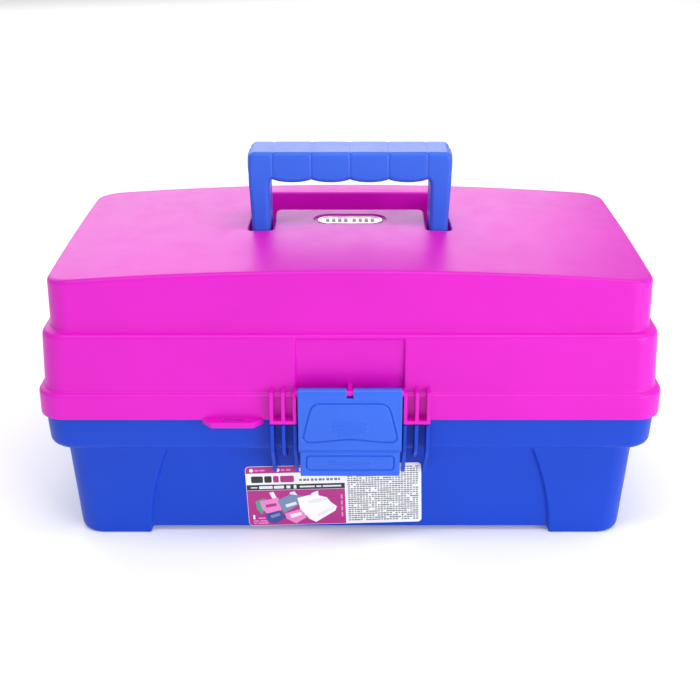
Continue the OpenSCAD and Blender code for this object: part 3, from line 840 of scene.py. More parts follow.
@dataclass
class Lid:
    """Lid shell with its stepped tiers, arched top, handle well, badge pocket and latch recess."""

    frame: Frame
    palette: Palette
    corner_r: float = 15.0
    recess_half: float = 30.35
    well: tuple[float, float, float, float] = (60.5, -16.2, 66.2, 139.8)
    platform: Point2 = (45.9, 25.3)
    badge_y: float = 4.3
    pocket: Point2 = (44.6, 19.8)
    lug_half: float = 5.4
    link_boss: Point2 = (169.8, 173.6)
    rib_x: float = 29.95
    rib_t: float = 2.1
    rib_pitch: float = 6.5

    def recess(self, x: float, z: float) -> float:
        """Depth of the sunken face behind the latch at one place on the middle tier."""
        low, high = self.frame.ledge_z - 0.4, self.frame.tier_z - 2.2
        across = smooth((self.recess_half - abs(x)) / 1.2 + 0.5)
        depth = 3.6 + (1.2 - 3.6) * min(1.0, max(0.0, (z - low) / (high - low)))
        return depth * across * smooth((z - low) / 0.4 + 0.5) * smooth((high - z) / 1.4 + 0.5)

    def rings(self, levels: Sequence[tuple[float, float, float]],
              thin: float = 0.0) -> list[list[list[float]]]:
        """Rings of the lid's skin, each level a height, an inset and how far the corner radius shrinks.

        Args:
            levels: The levels, from the bottom up.
            thin: Wall between this skin and the outer one.

        Returns:
            The rings.
        """
        edge = self.recess_half
        notch = [side * (edge + shift) for side in (-1, 1) for shift in (-1.2, -0.6, -0.3, 0, 0.3, 0.6, 1.2)]
        xs = sorted(set(np.linspace(-150, 150, 39).tolist() + notch))
        ys = np.linspace(-66, 66, 7).tolist()
        rings = []
        f = self.frame
        for z, inset, shrink in levels:
            points = plan(f.half_w - inset, f.half_d - inset, self.corner_r - shrink, xs, ys)
            ring = [[x, y, z] for x, y in points]
            for point in ring[:len(xs)]:
                point[1] += self.recess(point[0], z + thin)
            rings.append(ring)
        return rings

    def rim(self, inset: float, shrink: float, radius: float, drop: float) -> list[list[list[float]]]:
        """Rings that roll from the top tier's wall onto the arched top.

        Args:
            inset: Inset of the wall.
            shrink: How far the corner radius shrinks.
            radius: Radius of the roll.
            drop: How far this skin lies under the arched top.

        Returns:
            The rings, ending on the top surface.
        """
        rings = []
        for k in range(7):
            angle = math.pi / 2 * k / 6
            ring = self.rings([(0.0, inset + radius * (1 - math.cos(angle)), shrink)])[0]
            for point in ring:
                point[2] = self.frame.top(point[0], point[1]) - drop - radius * (1 - math.sin(angle))
            rings.append(ring)
        return rings

    def well_outline(self, grow: float) -> Points:
        """U-shaped outline of the handle well, grown by a distance."""
        half, front, back, _ = self.well
        inner, step = self.platform
        corners = [(-half, front, 2.5), (-inner, front, 2.5), (-inner, step, 4.0), (inner, step, 4.0),
                   (inner, front, 2.5), (half, front, 2.5), (half, back, 4.0), (-half, back, 4.0)]
        return rounded_polygon(corners, grow, 6)

    def hole(self, skin: Skin, outline: Callable[[float], Points], floor: float, drop: float,
             soft: float) -> list[int]:
        """Sink a hole from the arched surface to a flat floor.

        Args:
            skin: Skin that gets the hole.
            outline: Outline grown by a distance.
            floor: Height of the hole's floor.
            drop: How far the surface lies under the arched top, and the wall outside the outline.
            soft: Radius of the rounded rim.

        Returns:
            Indices of the ring on the arched surface.
        """
        rings = []
        for k in range(6):
            angle = math.pi / 2 * k / 5
            below = drop + soft * (1 - math.cos(angle))
            flat = outline(drop + soft * (1 - math.sin(angle)))
            rings.append([(x, y, self.frame.top(x, y) - below) for x, y in flat])
        for z, shrink in ((floor + 1.0, 0.0), (floor + 0.3, 0.3), (floor, 1.0)):
            rings.append([(x, y, z) for x, y in outline(drop - shrink)])
        surface, bottom = skin.stack(rings)
        skin.cap(bottom, [], level_at(floor))
        return surface

    def shell(self) -> bpy.types.Object:
        """The lid's outer and inner skins as one closed moulding."""
        f, wall = self.frame, self.frame.wall
        low, ledge, tier = f.lid_z, f.ledge_z, f.tier_z
        skin = Skin()
        outer = self.rings([
            (low, 0.55, 0.5), (low + 0.15, 0.2, 0.2), (low + 0.6, 0.0, 0), (ledge - 2.0, 0.0, 0),
            (ledge - 1.0, 0.25, 0.1), (ledge - 0.35, 0.8, 0.3), (ledge + 0.05, 1.6, 0.5),
            (ledge + 0.3, 2.4, 0.8), (ledge + 0.8, 2.95, 1.0), (ledge + 1.8, 3.1, 1.0),
            (ledge + 8, 3.4, 1.0), (tier - 8, 4.1, 1.0),
            (tier - 4.5, 4.25, 1.0), (tier - 2.9, 4.35, 1.0), (tier - 1.9, 4.5, 1.0), (tier - 0.9, 5.0, 1.1),
            (tier - 0.3, 5.7, 1.3), (tier + 0.05, 6.6, 1.5), (tier + 0.3, 7.8, 1.8), (tier + 0.8, 8.5, 2.0),
            (tier + 1.8, 8.7, 2.0)])
        outer += self.rim(9.1, 2.0, 2.6, 0.0)
        bottom, top = skin.stack(outer)
        inner = self.rings([
            (low, wall - 0.45, wall), (low + 0.5, wall, wall), (ledge - 3.0, wall, wall),
            (ledge - 1.9, wall + 0.7, wall), (ledge - 1.8, wall + 2.6, wall + 1),
            (ledge - 0.9, wall + 3.1, wall + 1), (tier - 3.4, wall + 4.4, wall + 1),
            (tier - 2.0, wall + 5.2, wall + 1.3), (tier - 1.7, wall + 8.0, wall + 2),
            (tier - 0.8, wall + 8.7, wall + 2)], wall)
        inner += self.rim(9.3 + wall, 2.0 + wall, 1.8, wall)
        low_ring, ceiling = skin.stack(inner)
        skin.bridge(bottom, low_ring)

        half_x, half_y = self.pocket[0] / 2, self.pocket[1] / 2
        pill = box_corners(-half_x, self.badge_y - half_y, half_x, self.badge_y + half_y, half_y - 0.05)
        floor = self.well[3]
        cut = self.hole(skin, self.well_outline, floor, 0.0, 1.3)
        badge = self.hole(skin, lambda grow: rounded_polygon(pill, grow, 10), f.box("badge_plate")[0].z,
                          0.0, 0.35)
        skin.cap(top, [cut, badge], lambda x, y: (x, y, f.top(x, y)), pitch=9.0)
        under = self.hole(skin, self.well_outline, floor - wall, wall, 0.8)
        skin.cap(ceiling, [under], lambda x, y: (x, y, f.top(x, y) - wall), pitch=12.0)
        return skin.make("lid_moulding", [self.palette.lid])

    def details(self) -> bpy.types.Object:
        """Latch rod, carrying tab, link bosses and hinge lugs, moulded with the lid."""
        f = self.frame
        skin = Skin()
        rod_y, rod_z = f.pivot("latch_swing")
        skin.rod(0, -self.recess_half, self.recess_half, rod_y, rod_z, 1.8)
        front = -f.half_d
        skin.prism(0, -1.25, 1.25, [(rod_y, rod_z - 1.2, 0.5), (front + 7.4, rod_z - 1.2, 0.4),
                                    (front + 7.4, rod_z + 1.2, 0.4), (rod_y, rod_z + 1.2, 0.9)], 0.3)
        hinge_y, hinge_z = f.hinge
        lugs = mirrored(f.hinge_x - self.lug_half, f.hinge_x + self.lug_half)
        for lug, boss in zip(lugs, mirrored(*self.link_boss)):
            skin.rod(0, *lug, hinge_y, hinge_z, f.hinge_r, 0.35)
            skin.prism(0, *lug, [
                (f.half_d - 0.9, f.lid_z + 0.05, 0.2), (hinge_y, f.lid_z + 0.05, 0.2),
                (hinge_y + f.hinge_r, hinge_z, 0.6), (hinge_y + 2.9, hinge_z + 3, 1.2),
                (f.half_d + 1.2, f.ledge_z - 2, 0.8), (f.half_d - 0.9, f.ledge_z - 2, 0.2)], 0.35)
            skin.rod(0, *boss, *f.pivot("lid_link_swing"), f.boss_r, 0.4)
        self.tab(skin)
        return skin.make("lid_fittings", [self.palette.lid])

    def tab(self, skin: Skin) -> None:
        """Carrying tab left of the latch, a flat loop with a slot."""
        left = -self.frame.half_w + 94.0
        front = -self.frame.half_d
        low = self.frame.lid_z - 2.2
        high = low + 3.5
        outline = [(left + 5.5, front - 6, 1.5), (left + 29.2, front - 6, 1.5), (left + 34.7, front, 0.3),
                   (left + 34.7, front + 0.9, 0.1), (left, front + 0.9, 0.1), (left, front, 0.3)]
        slot = box_corners(left + 11.7, front - 3.7, left + 23.6, front - 0.3, 0.8)
        edge = soft_ends(low, high, 0.5)
        rims = skin.tower(outline, edge, 6)
        slot_rims = skin.tower(slot, [(z, -grow) for z, grow in edge], 6)
        for rim, slot_rim, z in zip(rims, slot_rims, (low, high)):
            skin.cap(rim, [slot_rim], level_at(z))

    def ribs(self, tree: Tree) -> bpy.types.Object:
        """Three guard ribs on each side of the latch.

        Args:
            tree: Tree that repeats one rib.

        Returns:
            The ribs.
        """
        f = self.frame
        low, high, face, wall = f.lid_z + 0.2, f.ledge_z + 3.4, -f.half_d - 5.8, -f.half_d
        skin = Skin()
        skin.prism(0, self.rib_x, self.rib_x + self.rib_t, [
            (face, low, 0.6), (wall + 0.9, low, 0.2), (wall + 0.9, f.ledge_z - 2, 0.1),
            (wall + 4.4, f.ledge_z - 2, 0.1), (wall + 3.6, high, 0.3), (face + 2, high, 1.2),
            (face, high - 3, 1.5)], 0.35)
        ribs = skin.make("lid_guard_ribs", [self.palette.lid])
        tree.apply(ribs, {"Count": 3, "Pitch": (self.rib_pitch * MM, 0, 0),
                          "Mirror Shift": (-(2 * self.rib_x + self.rib_t) * MM, 0, 0),
                          "Material": self.palette.lid})
        return ribs

    def rib_floors(self) -> bpy.types.Object:
        """Short floors under the guard ribs."""
        f = self.frame
        skin = Skin()
        section = box_corners(-f.half_d - 5.86, f.lid_z + 0.14, -f.half_d + 0.5, f.lid_z + 2.2, 0.5)
        last = self.rib_x + 2 * self.rib_pitch + self.rib_t
        for ends in mirrored(self.rib_x - 0.06, last + 0.06):
            skin.prism(0, *ends, section, 0.4)
        return skin.make("lid_rib_floors", [self.palette.lid])

    def build(self, tree: Tree) -> None:
        """Build every piece of the lid."""
        attach(self.shell(), "lid", Slot.LID, "lid_shell")
        attach(self.details(), "lid", Slot.LID)
        attach(self.ribs(tree), "lid", Slot.LID)
        attach(self.rib_floors(), "lid", Slot.LID)


@dataclass
class Tub:
    """Tub with its rounded band, tapering body, sunken panels and corner feet."""

    frame: Frame
    palette: Palette
    rim_z: float = 96.5
    band_z: float = 61.5
    panel_half: float = 119.5
    side_half: float = 45.0
    panel_depth: float = 2.5
    foot_h: float = 3.0
    floor_z: float = 5.0
    arm_boss: Point2 = (165.9, 174.0)
    hook_half: float = 22.15
    rib_x: float = 29.95
    rib_t: float = 2.1
    edge: tuple[float, ...] = (-1.6, -1.0, -0.5, 0.0, 0.5, 1.0, 1.6)

    def half_at(self, z: float) -> float:
        """Half width of the front panel at one height."""
        return self.panel_half - 13.0 * min(1.0, z / (self.band_z - 3)) ** 1.8

    def sunk(self, along: float, half: float) -> float:
        """How far a place lies inside a panel, from 0 on the post to 1 on the panel."""
        return smooth((half - abs(along)) / 2.0 + 0.5)

    def lift(self, x: float, y: float) -> float:
        """Height of the underside: on the floor at the feet, raised between them."""
        return self.foot_h * max(self.sunk(x, self.panel_half), self.sunk(y, self.side_half))

    def columns(self, z: float) -> tuple[list[float], list[float]]:
        """Places of the columns along the front and along the sides at one height."""
        half, side = self.half_at(z), self.side_half
        xs = sorted([-half - s for s in self.edge] + [-60.0, 0.0, 60.0] + [half + s for s in self.edge])
        ys = sorted([-side - s for s in self.edge] + [0.0] + [side + s for s in self.edge])
        return xs, ys

    def ring(self, z: float, inset: float, shrink: float, depth: float) -> list[list[float]]:
        """One ring of the tub's outer skin.

        Args:
            z: Height of the ring.
            inset: Inset from the lid skirt.
            shrink: How far the corner radius shrinks.
            depth: Depth of the panels at this height.

        Returns:
            The ring.
        """
        xs, ys = self.columns(z)
        roll = 2.6 * max(0.0, 1 - z / 3.4) ** 2.5
        roll -= 1.2 * smooth((z - self.band_z + 1) / 3) * smooth((self.frame.lid_z - 0.4 - z) / 0.8)
        points = plan(self.frame.half_w - inset - roll, self.frame.half_d - inset, 15 - shrink, xs, ys)
        ring = [[x, y, z] for x, y in points]
        arc = 13
        right = len(xs) + arc
        back = right + len(ys) + arc
        left = back + len(xs) + arc
        for i, point in enumerate(ring):
            x, y = point[:2]
            if i < len(xs) or back <= i < back + len(xs):
                point[1] -= math.copysign(depth * self.sunk(x, self.half_at(z)), y)
            elif right <= i < right + len(ys) or left <= i < left + len(ys):
                point[0] -= math.copysign(depth * self.sunk(y, self.side_half), x)
            if z < 12:
                point[2] = z + self.lift(x, y) * (1 - z / 12)
        return ring

    def shell(self) -> bpy.types.Object:
        """The tub's outer and inner skins as one closed moulding."""
        f = self.frame
        deep = self.panel_depth
        skin = Skin()
        outer = [self.ring(z, inset, shrink, depth) for z, inset, shrink, depth in (
            (0.0, 15.6, 3.2, deep), (0.12, 15.1, 2.7, deep), (0.4, 14.75, 2.4, deep), (0.9, 14.5, 2.2, deep),
            (2.0, 14.35, 2.0, deep), (4.0, 14.2, 2, deep), (12.0, 13.75, 2, deep), (21.0, 13.3, 2, deep),
            (30.0, 12.8, 2, deep), (39.0, 12.3, 2, deep), (48.0, 11.85, 2, deep), (56.6, 11.35, 2, deep),
            (57.9, 11.25, 2, deep), (58.5, 11.2, 2, deep * 0.8), (58.9, 11.15, 2, deep * 0.25),
            (59.3, 11.1, 2, 0.0), (60.3, 10.8, 2, 0), (61.0, 10.0, 1.7, 0), (61.4, 8.9, 1.3, 0),
            (61.9, 7.2, 1, 0), (62.7, 5.8, 0.8, 0),
            (63.8, 4.8, 0.4, 0), (65.2, 4.15, 0.2, 0), (66.6, 3.9, 0, 0), (80.0, 3.3, 0, 0),
            (82.2, 3.2, 0, 0), (82.7, 3.2, 0, 0), (83.2, 3.2, 0, 0),
            (self.rim_z - 0.6, 2.6, 0, 0), (self.rim_z - 0.15, 2.75, 0.1, 0), (self.rim_z, 3.1, 0.3, 0))]
        bottom, rim = skin.stack(outer)
        inner = [self.ring(z, inset, shrink, 0) for z, inset, shrink in (
            (self.rim_z, 3.9, 1.4), (self.rim_z - 0.2, 4.25, 1.7), (self.rim_z - 0.7, 4.4, 1.8),
            (66.6, 5.75, 1.8), (64.8, 6.3, 2.0), (63.6, 7.6, 2.6), (63.0, 9.4, 3.2), (61.9, 12.0, 3.8),
            (60.6, 13.6, 4), (60.3, 15.0, 4), (60.3, 17.6, 5), (59.9, 18.7, 6), (58.8, 19.1, 6),
            (30.0, 19.2, 6), (12.0, 19.3, 6))]
        for z, inset in ((9.0, 19.5), (6.6, 20.4), (5.4, 21.8), (self.floor_z, 23.6)):
            points = plan(f.half_w - inset, f.half_d - inset, 9.0 - (inset - 19.1) * 0.6, *self.columns(0.0))
            inner.append([[x, y, z] for x, y in points])
        top_ring, floor_ring = skin.stack(inner)
        skin.bridge(rim, top_ring)
        skin.cap(floor_ring, [], level_at(self.floor_z))
        reach_x, reach_y = f.half_w - 19.5, f.half_d - 19.5
        shifts = [(side, shift) for side in (-1, 1) for shift in self.edge]
        lines = [((side * self.panel_half + shift, -reach_y), (side * self.panel_half + shift, reach_y))
                 for side, shift in shifts]
        lines += [((-reach_x, side * self.side_half + shift), (reach_x, side * self.side_half + shift))
                  for side, shift in shifts]
        skin.cap(bottom, [], lambda x, y: (x, y, self.lift(x, y)), lines=lines)
        return skin.make("tub_moulding", [self.palette.tub])

    def fittings(self) -> bpy.types.Object:
        """Hinge ears, catch rib and arm bosses, moulded with the tub."""
        f = self.frame
        hinge_y, hinge_z = f.hinge
        face = f.half_d - f.band_inset
        ear = [(face - 0.6, hinge_z - 18, 0.5), (hinge_y + 3.5, hinge_z - 4, 1.5),
               (hinge_y + f.hinge_r, hinge_z, 0.5), (hinge_y - 2, hinge_z, 0.3),
               (hinge_y - 4.2, f.lid_z - 1.2, 0.3), (face - 0.6, f.lid_z - 1.2, 0.1)]
        skin = Skin()
        for side, boss in zip((-1, 1), mirrored(*self.arm_boss)):
            for end in (-1, 1):
                ends = sorted(side * f.hinge_x + end * reach for reach in (5.8, 14.0))
                skin.rod(0, *ends, hinge_y, hinge_z, f.hinge_r, 0.35)
                skin.prism(0, *ends, ear, 0.35)
            for joint in ("rear_arms_swing", "front_arms_swing"):
                skin.rod(0, *boss, *f.pivot(joint), f.boss_r, 0.4)
        catch = f.catch_z
        skin.prism(0, -self.hook_half, self.hook_half, [
            (-face - 2.9, catch, 0.3), (-face + 1, catch, 0.1), (-face + 1, catch + 2.5, 0.1),
            (-face - 2.9, catch + 1.4, 0.6)], 0.3)
        return skin.make("tub_fittings", [self.palette.tub])

    def ribs(self, tree: Tree) -> list[bpy.types.Object]:
        """Guard ribs below the lid's ribs; the outer and inner ones run further down the body.

        Args:
            tree: Tree that repeats a rib.

        Returns:
            The long pairs and the short pair.
        """
        f = self.frame
        band, top, face = -(f.half_d - f.band_inset), f.lid_z - 0.7, -f.half_d - 4.8
        pieces = []
        for name, x, low, count in (("long", self.rib_x, self.band_z - 18, 2),
                                    ("short", self.rib_x + 6.5, self.band_z - 8, 1)):
            skin = Skin()
            skin.prism(0, x, x + self.rib_t, [
                (-f.half_d + 11.6, low, 0.3), (-f.half_d + 14.4, low, 0.1), (band + 1, self.band_z + 6, 0.5),
                (band + 1, top, 0.1), (face, top, 0.6), (face + 0.2, self.band_z + 4, 2.5)], 0.4)
            rib = skin.make("tub_guard_ribs_" + name, [self.palette.tub])
            tree.apply(rib, {"Count": count, "Pitch": (13.0 * MM, 0, 0),
                             "Mirror Shift": (-(2 * x + self.rib_t) * MM, 0, 0),
                             "Material": self.palette.tub})
            pieces.append(rib)
        return pieces

    def build(self, tree: Tree) -> None:
        """Build every piece of the tub."""
        attach(self.shell(), "base", Slot.TUB, "base_tub")
        attach(self.fittings(), "base", Slot.TUB)
        for rib in self.ribs(tree):
            attach(rib, "base", Slot.TUB)


@dataclass
class Handle:
    """Folding handle: two legs and a grip with four finger lobes."""

    frame: Frame
    palette: Palette
    half: float = 59.8
    leg_in: float = 47.6
    depth: float = 14.7
    grip_low: float = 198.5
    soft: float = 2.6
    lobe: float = 22.8
    foot_in: float = 2.2
    stub: Point2 = (56.0, 62.3)
    nodes: tuple[float, ...] = (-45.6, -22.8, 0.0, 22.8, 45.6)
    groove_steps: tuple[float, ...] = (-1.4, -0.9, -0.5, -0.2, 0, 0.2, 0.5, 0.9, 1.4)

    def groove(self, x: float) -> float:
        """Depth of the thin grooves between the finger lobes."""
        return max(math.exp(-((x - node) / 0.55) ** 2) for node in self.nodes)

    def outline(self) -> Points:
        """Front outline of the handle, counter-clockwise."""
        pivot_z = self.frame.pivot("handle_fold")[1]
        top = self.frame.box("handle")[1].z
        foot = pivot_z - self.depth
        rounds = [pivot_z - self.depth * math.sin(a) for a in np.linspace(0.1, 0.9, 6)]
        heights = sorted([foot + 0.05, *rounds, pivot_z, 168.0, 180.0, 190.0])
        rise = self.grip_low - pivot_z
        right = [(self.half - self.foot_in + self.foot_in * min(1.0, max(0.0, (z - pivot_z) / rise)), z)
                 for z in heights]
        right += [(self.half, self.grip_low), (self.half, top - 5.0)]
        right += [(self.half - 4 * (1 - math.cos(a)), top - 4 + 4 * math.sin(a))
                  for a in np.linspace(0.1, 1.5, 9)]
        columns = sorted(set([n + s for n in self.nodes for s in self.groove_steps]
                             + np.linspace(-54, 54, 28).tolist()), reverse=True)
        points = right + [(x, top) for x in columns] + [(-x, z) for x, z in reversed(right)]
        leg = [(self.leg_in, z) for z in heights]
        under = []
        for x in sorted([x for x in columns if abs(x) < self.leg_in - 1.6]):
            place = abs((x / self.lobe) % 1.0 - 0.5) if abs(x) < self.nodes[-1] else 0.5
            under.append((x, self.grip_low + 1.7 * (2 * place) ** 2.4))
        corner = [(shift - self.leg_in, self.grip_low + up)
                  for shift, up in ((0.0, -3.2), (0.25, -1.2), (0.7, 0.6), (1.2, 1.4))]
        points += [(-x, z) for x, z in leg] + corner + under
        points += [(-x, z) for x, z in reversed(corner)] + [(x, z) for x, z in reversed(leg)]
        return np.array(points)

    def shrunk(self, points: Points, inset: float) -> Points:
        """Outline moved inwards along its own normals."""
        before = points - np.roll(points, 1, axis=0)
        after = np.roll(points, -1, axis=0) - points
        before /= np.linalg.norm(before, axis=1)[:, None]
        after /= np.linalg.norm(after, axis=1)[:, None]
        normals = np.stack([-(before[:, 1] + after[:, 1]), before[:, 0] + after[:, 0]], 1)
        scale = np.clip(1 + (before * after).sum(1), 0.6, 2.0)
        return points + normals / scale[:, None] * inset

    def shape(self, x: float, y: float, z: float) -> tuple[float, float, float]:
        """Pinch the grip at its grooves, pillow its lobes and round the legs' feet."""
        pivot_z = self.frame.pivot("handle_fold")[1]
        if z > self.grip_low - 2:
            near = smooth((z - self.grip_low + 2) / 4)
            z -= 0.3 * self.groove(x) * smooth((z - self.frame.box("handle")[1].z + 4) / 3)
            lobe = 1 - 0.012 * near * (2 * abs((x / self.lobe) % 1.0 - 0.5)) ** 2
            y *= lobe * (1 - 0.028 * self.groove(x) * near)
        if z < pivot_z:
            y *= max(0.12, math.sqrt(max(0.0, 1 - ((pivot_z - z) / self.depth) ** 2)))
        return x, y, z

    def build(self) -> None:
        """Build the handle."""
        outline = self.outline()
        top = self.frame.box("handle")[1].z
        skin = Skin()
        rings = []
        for k in (-6, -5, -4, -3, -2, -1, 1, 2, 3, 4, 5, 6):
            angle = math.pi / 2 * (abs(k) - 1) / 5
            inset = self.soft * (1 - math.cos(angle))
            y = self.depth - self.soft * (1 - math.sin(angle))
            rings.append([(x, math.copysign(y, k), z) for x, z in self.shrunk(outline, inset)])
        first, last = skin.stack(rings)
        lines = [((n + s, self.grip_low + 5.2), (n + s, top - 3.8))
                 for n in self.nodes for s in self.groove_steps]
        for ring in (first, last):
            y = skin.points[ring[0]][1]
            skin.cap(ring, [], lambda x, z, at=y: (x, at, z), (0, 2), lines=lines)
        skin.points = [self.shape(*point) for point in skin.points]
        pad = box_corners(-11, top - 14.5, 11, top - 2.5, 5.9)
        for stub, ends in zip(mirrored(*self.stub), mirrored(self.half - 0.6, self.half + 0.4)):
            skin.rod(0, *stub, *self.frame.pivot("handle_fold"), 4.0)
            skin.prism(0, *ends, pad, 0.4, steps=10)
        attach(skin.make("carry_handle", [self.palette.latch], 50), "handle", Slot.LATCH, "handle")


@dataclass
class Latch:
    """Snap latch: a curved plate that turns on the lid's rod, with sunk panels and arched grip ridges."""

    frame: Frame
    palette: Palette
    half: float = 29.15
    drop: float = 50.7
    thick: float = 2.2
    roll: float = 3.0
    crease_drop: float = 34.8
    hook_half: float = 20.15
    hook_y: float = -92.4
    stiffener_y: float = -94.7

    def relief(self, x: float, z: float) -> float:
        """Height of the face's detail: two outlined panels and their grip ridges."""
        rod_z = self.frame.pivot("latch_swing")[1]
        down = rod_z - z
        wide = 20.6 + 5.8 * min(1.0, max(0.0, (down - 5.0) / 21.0)) ** 0.75
        sag = 1.9 * math.exp(-(x / 13.0) ** 2)
        upper = self.box_distance(x, down, wide, 5.0, 29.0 - sag, 3.4)
        lower = self.box_distance(x, down, 25.6, 37.7, 46.6, 2.0)
        height = 0.0
        for distance in (upper, lower):
            height -= 0.75 * math.exp(-(distance / 0.36) ** 2)
            height += 0.16 * math.exp(-((distance - 1.0) / 0.4) ** 2) + 0.20 * smooth(-distance / 0.9)
        ridges = [(15.6 + 2.9 * k + 0.0055 * x * x, reach) for k, reach in enumerate((9.5, 10.0, 9.8, 6.6))]
        for line, reach in (*ridges, (41.0, 12.2), (43.7, 12.2)):
            height += 0.5 * math.exp(-((down - line) / 0.5) ** 2) * smooth(reach - abs(x) + 0.5)
        return height

    @staticmethod
    def box_distance(x: float, down: float, half: float, top: float, bottom: float,
                     radius: float) -> float:
        """Signed distance to a rounded rectangle."""
        qx = abs(x) - half + radius
        qz = abs(down - (top + bottom) / 2) - (bottom - top) / 2 + radius
        return math.hypot(max(qx, 0), max(qz, 0)) + min(max(qx, qz), 0) - radius

    def profile(self) -> list[tuple[float, float, bool]]:
        """Section of the plate: Y, Z and whether the point lies on the detailed face."""
        rod_y, rod_z = self.frame.pivot("latch_swing")
        face = self.frame.box("latch")[0].y
        low = rod_z - self.drop
        crease = rod_z - self.crease_drop
        inner = face + self.thick

        def round_rod(angles: Sequence[float]) -> list[tuple[float, float, bool]]:
            """Plain points on the roll's circle, at angles in degrees."""
            return [(rod_y + self.roll * math.cos(math.radians(a)),
                     rod_z + self.roll * math.sin(math.radians(a)), False) for a in angles]

        points = round_rod(np.linspace(40, 90, 6)[:-1])
        for a in np.linspace(90, 176, 12):
            points.append((rod_y - (rod_y - face - 1.3) * math.sin(math.radians(a - 90)),
                           rod_z - 1.2 + (self.roll + 1.2) * math.sin(math.radians(a)), False))
        for z in np.arange(rod_z - 1.6, low + 0.9, -0.34):
            groove = 0.9 * math.exp(-((z - crease) / 0.75) ** 2)
            bow = 0.75 * (1 - smooth((rod_z + 1.0 - z) / 9.0))
            points.append((face + 0.72 + bow + groove, float(z), True))
        points += [(face + 0.8, low + 0.3, False), (face + 1.2, low, False), (inner + 0.1, low + 0.1, False),
                   (inner + 0.4, low + 0.6, False), (inner + 0.2, low + 6, False), (inner, crease - 1, False),
                   (inner, rod_z - 12, False), (inner, rod_z - 4.2, False),
                   (rod_y - 0.4, rod_z - self.roll, False)]
        return points + round_rod(np.linspace(-70, 30, 10))

    def plate(self) -> bpy.types.Object:
        """The latch plate with its hook and stiffeners."""
        rod_z = self.frame.pivot("latch_swing")[1]
        profile = self.profile()
        crease = rod_z - self.crease_drop
        soft = [(-self.half, 0.5), (-self.half + 0.15, 0.15), (-self.half + 0.5, 0.0)]
        columns = soft + [(float(x), 0.0) for x in np.linspace(-self.half + 0.9, self.half - 0.9, 150)]
        columns += [(-x, inset) for x, inset in reversed(soft)]
        flat = np.array([(y, z) for y, z, _ in profile])
        skin = Skin()
        rings = []
        for x, inset in columns:
            ring = []
            shrunk = self.inset_section(flat, inset)
            for (y, z), (_, _, face) in zip(shrunk, profile):
                taper = 1 - 0.032 * smooth((crease + 1.5 - z) / 3.0)
                ring.append((x * taper, y - (self.relief(x, z) if face else 0.0), z))
            rings.append(ring)
        first, last = skin.stack(rings)
        for ring in (first, last):
            x = skin.points[ring[0]][0]
            skin.cap(ring, [], lambda y, z, at=x: (at, y, z), (1, 2))
        catch = self.frame.catch_z
        inner = self.frame.box("latch")[0].y + self.thick
        skin.prism(0, -self.hook_half, self.hook_half, [
            (inner - 1, catch - 3, 0.3), (self.hook_y, catch - 2.6, 0.4), (self.hook_y, catch - 1.2, 0.6),
            (inner + 1.4, catch - 0.5, 0.3), (inner - 1, catch - 0.5, 0.3)], 0.3)
        for x in (-self.hook_half, -1.0, self.hook_half - 2):
            skin.prism(0, x, x + 2, [
                (inner - 0.5, catch - 2, 0.2), (self.stiffener_y, catch - 2, 0.2),
                (self.stiffener_y, catch - 0.5, 0.3), (inner - 0.5, catch + 8, 0.2)], 0.3)
        return skin.make("snap_latch", [self.palette.latch], 50)

    @staticmethod
    def inset_section(points: Points, inset: float) -> Points:
        """Section shrunk towards its own inside by a small distance."""
        if inset == 0:
            return points
        before = points - np.roll(points, 1, axis=0)
        after = np.roll(points, -1, axis=0) - points
        before /= np.linalg.norm(before, axis=1)[:, None]
        after /= np.linalg.norm(after, axis=1)[:, None]
        along = before + after
        along /= np.maximum(np.linalg.norm(along, axis=1), 1e-6)[:, None]
        return points + np.stack([-along[:, 1], along[:, 0]], 1) * inset

    def build(self) -> None:
        """Build the latch and cut the gap in its roll."""
        rod_y, rod_z = self.frame.pivot("latch_swing")
        latch = self.plate()
        cutter = Skin()
        cutter.prism(0, -1.9, 1.9, box_corners(rod_y - 9, rod_z - 2.2, rod_y + 8, rod_z + 8, 0.3), 0.2)
        tool = cutter.make("gap_tool", [self.palette.latch])
        cut = latch.modifiers.new("gap", "BOOLEAN")
        cut.operation = "DIFFERENCE"
        cut.solver = "EXACT"
        cut.object = tool
        bake_modifiers(latch)
        bpy.data.objects.remove(tool)
        attach(latch, "latch", Slot.LATCH, "latch")


@dataclass
class Badge:
    """Plain pearl plate in the lid's pocket, with a raised rim and a row of short bars."""

    frame: Frame
    palette: Palette

    def build(self, tree: Tree) -> None:
        """Build the plate and its bars."""
        low, high = self.frame.box("badge_plate")
        middle = (low.y + high.y) / 2
        radius = (high.y - low.y) / 2
        corners = box_corners(low.x, low.y, high.x, high.y, radius - 0.05)
        skin = Skin()
        levels = [(low.z, -0.1), (high.z - 0.2, 0.0), (high.z - 0.05, -0.1), (high.z, -0.35), (high.z, -1.0),
                  (high.z - 0.1, -1.25), (high.z - 0.35, -1.4)]
        first, last = skin.tower(corners, levels, 12)
        skin.cap(first, [], level_at(low.z))
        skin.cap(last, [], level_at(high.z - 0.35))
        attach(skin.make("badge_plaque", [self.palette.badge]), "lid", Slot.BADGE, "badge_plate")
        bar = Skin()
        bar.prism(0, 1.5, 3.6, box_corners(middle - 2.6, high.z - 0.5, middle + 2.6, high.z - 0.02, 0.2), 0.2)
        bars = bar.make("badge_bars", [self.palette.inks["dark"]])
        tree.apply(bars, {"Count": 4, "Pitch": (3.7 * MM, 0, 0), "Mirror Shift": (-5.1 * MM, 0, 0),
                          "Material": self.palette.inks["dark"]})
        attach(bars, "lid", Slot.BADGE)


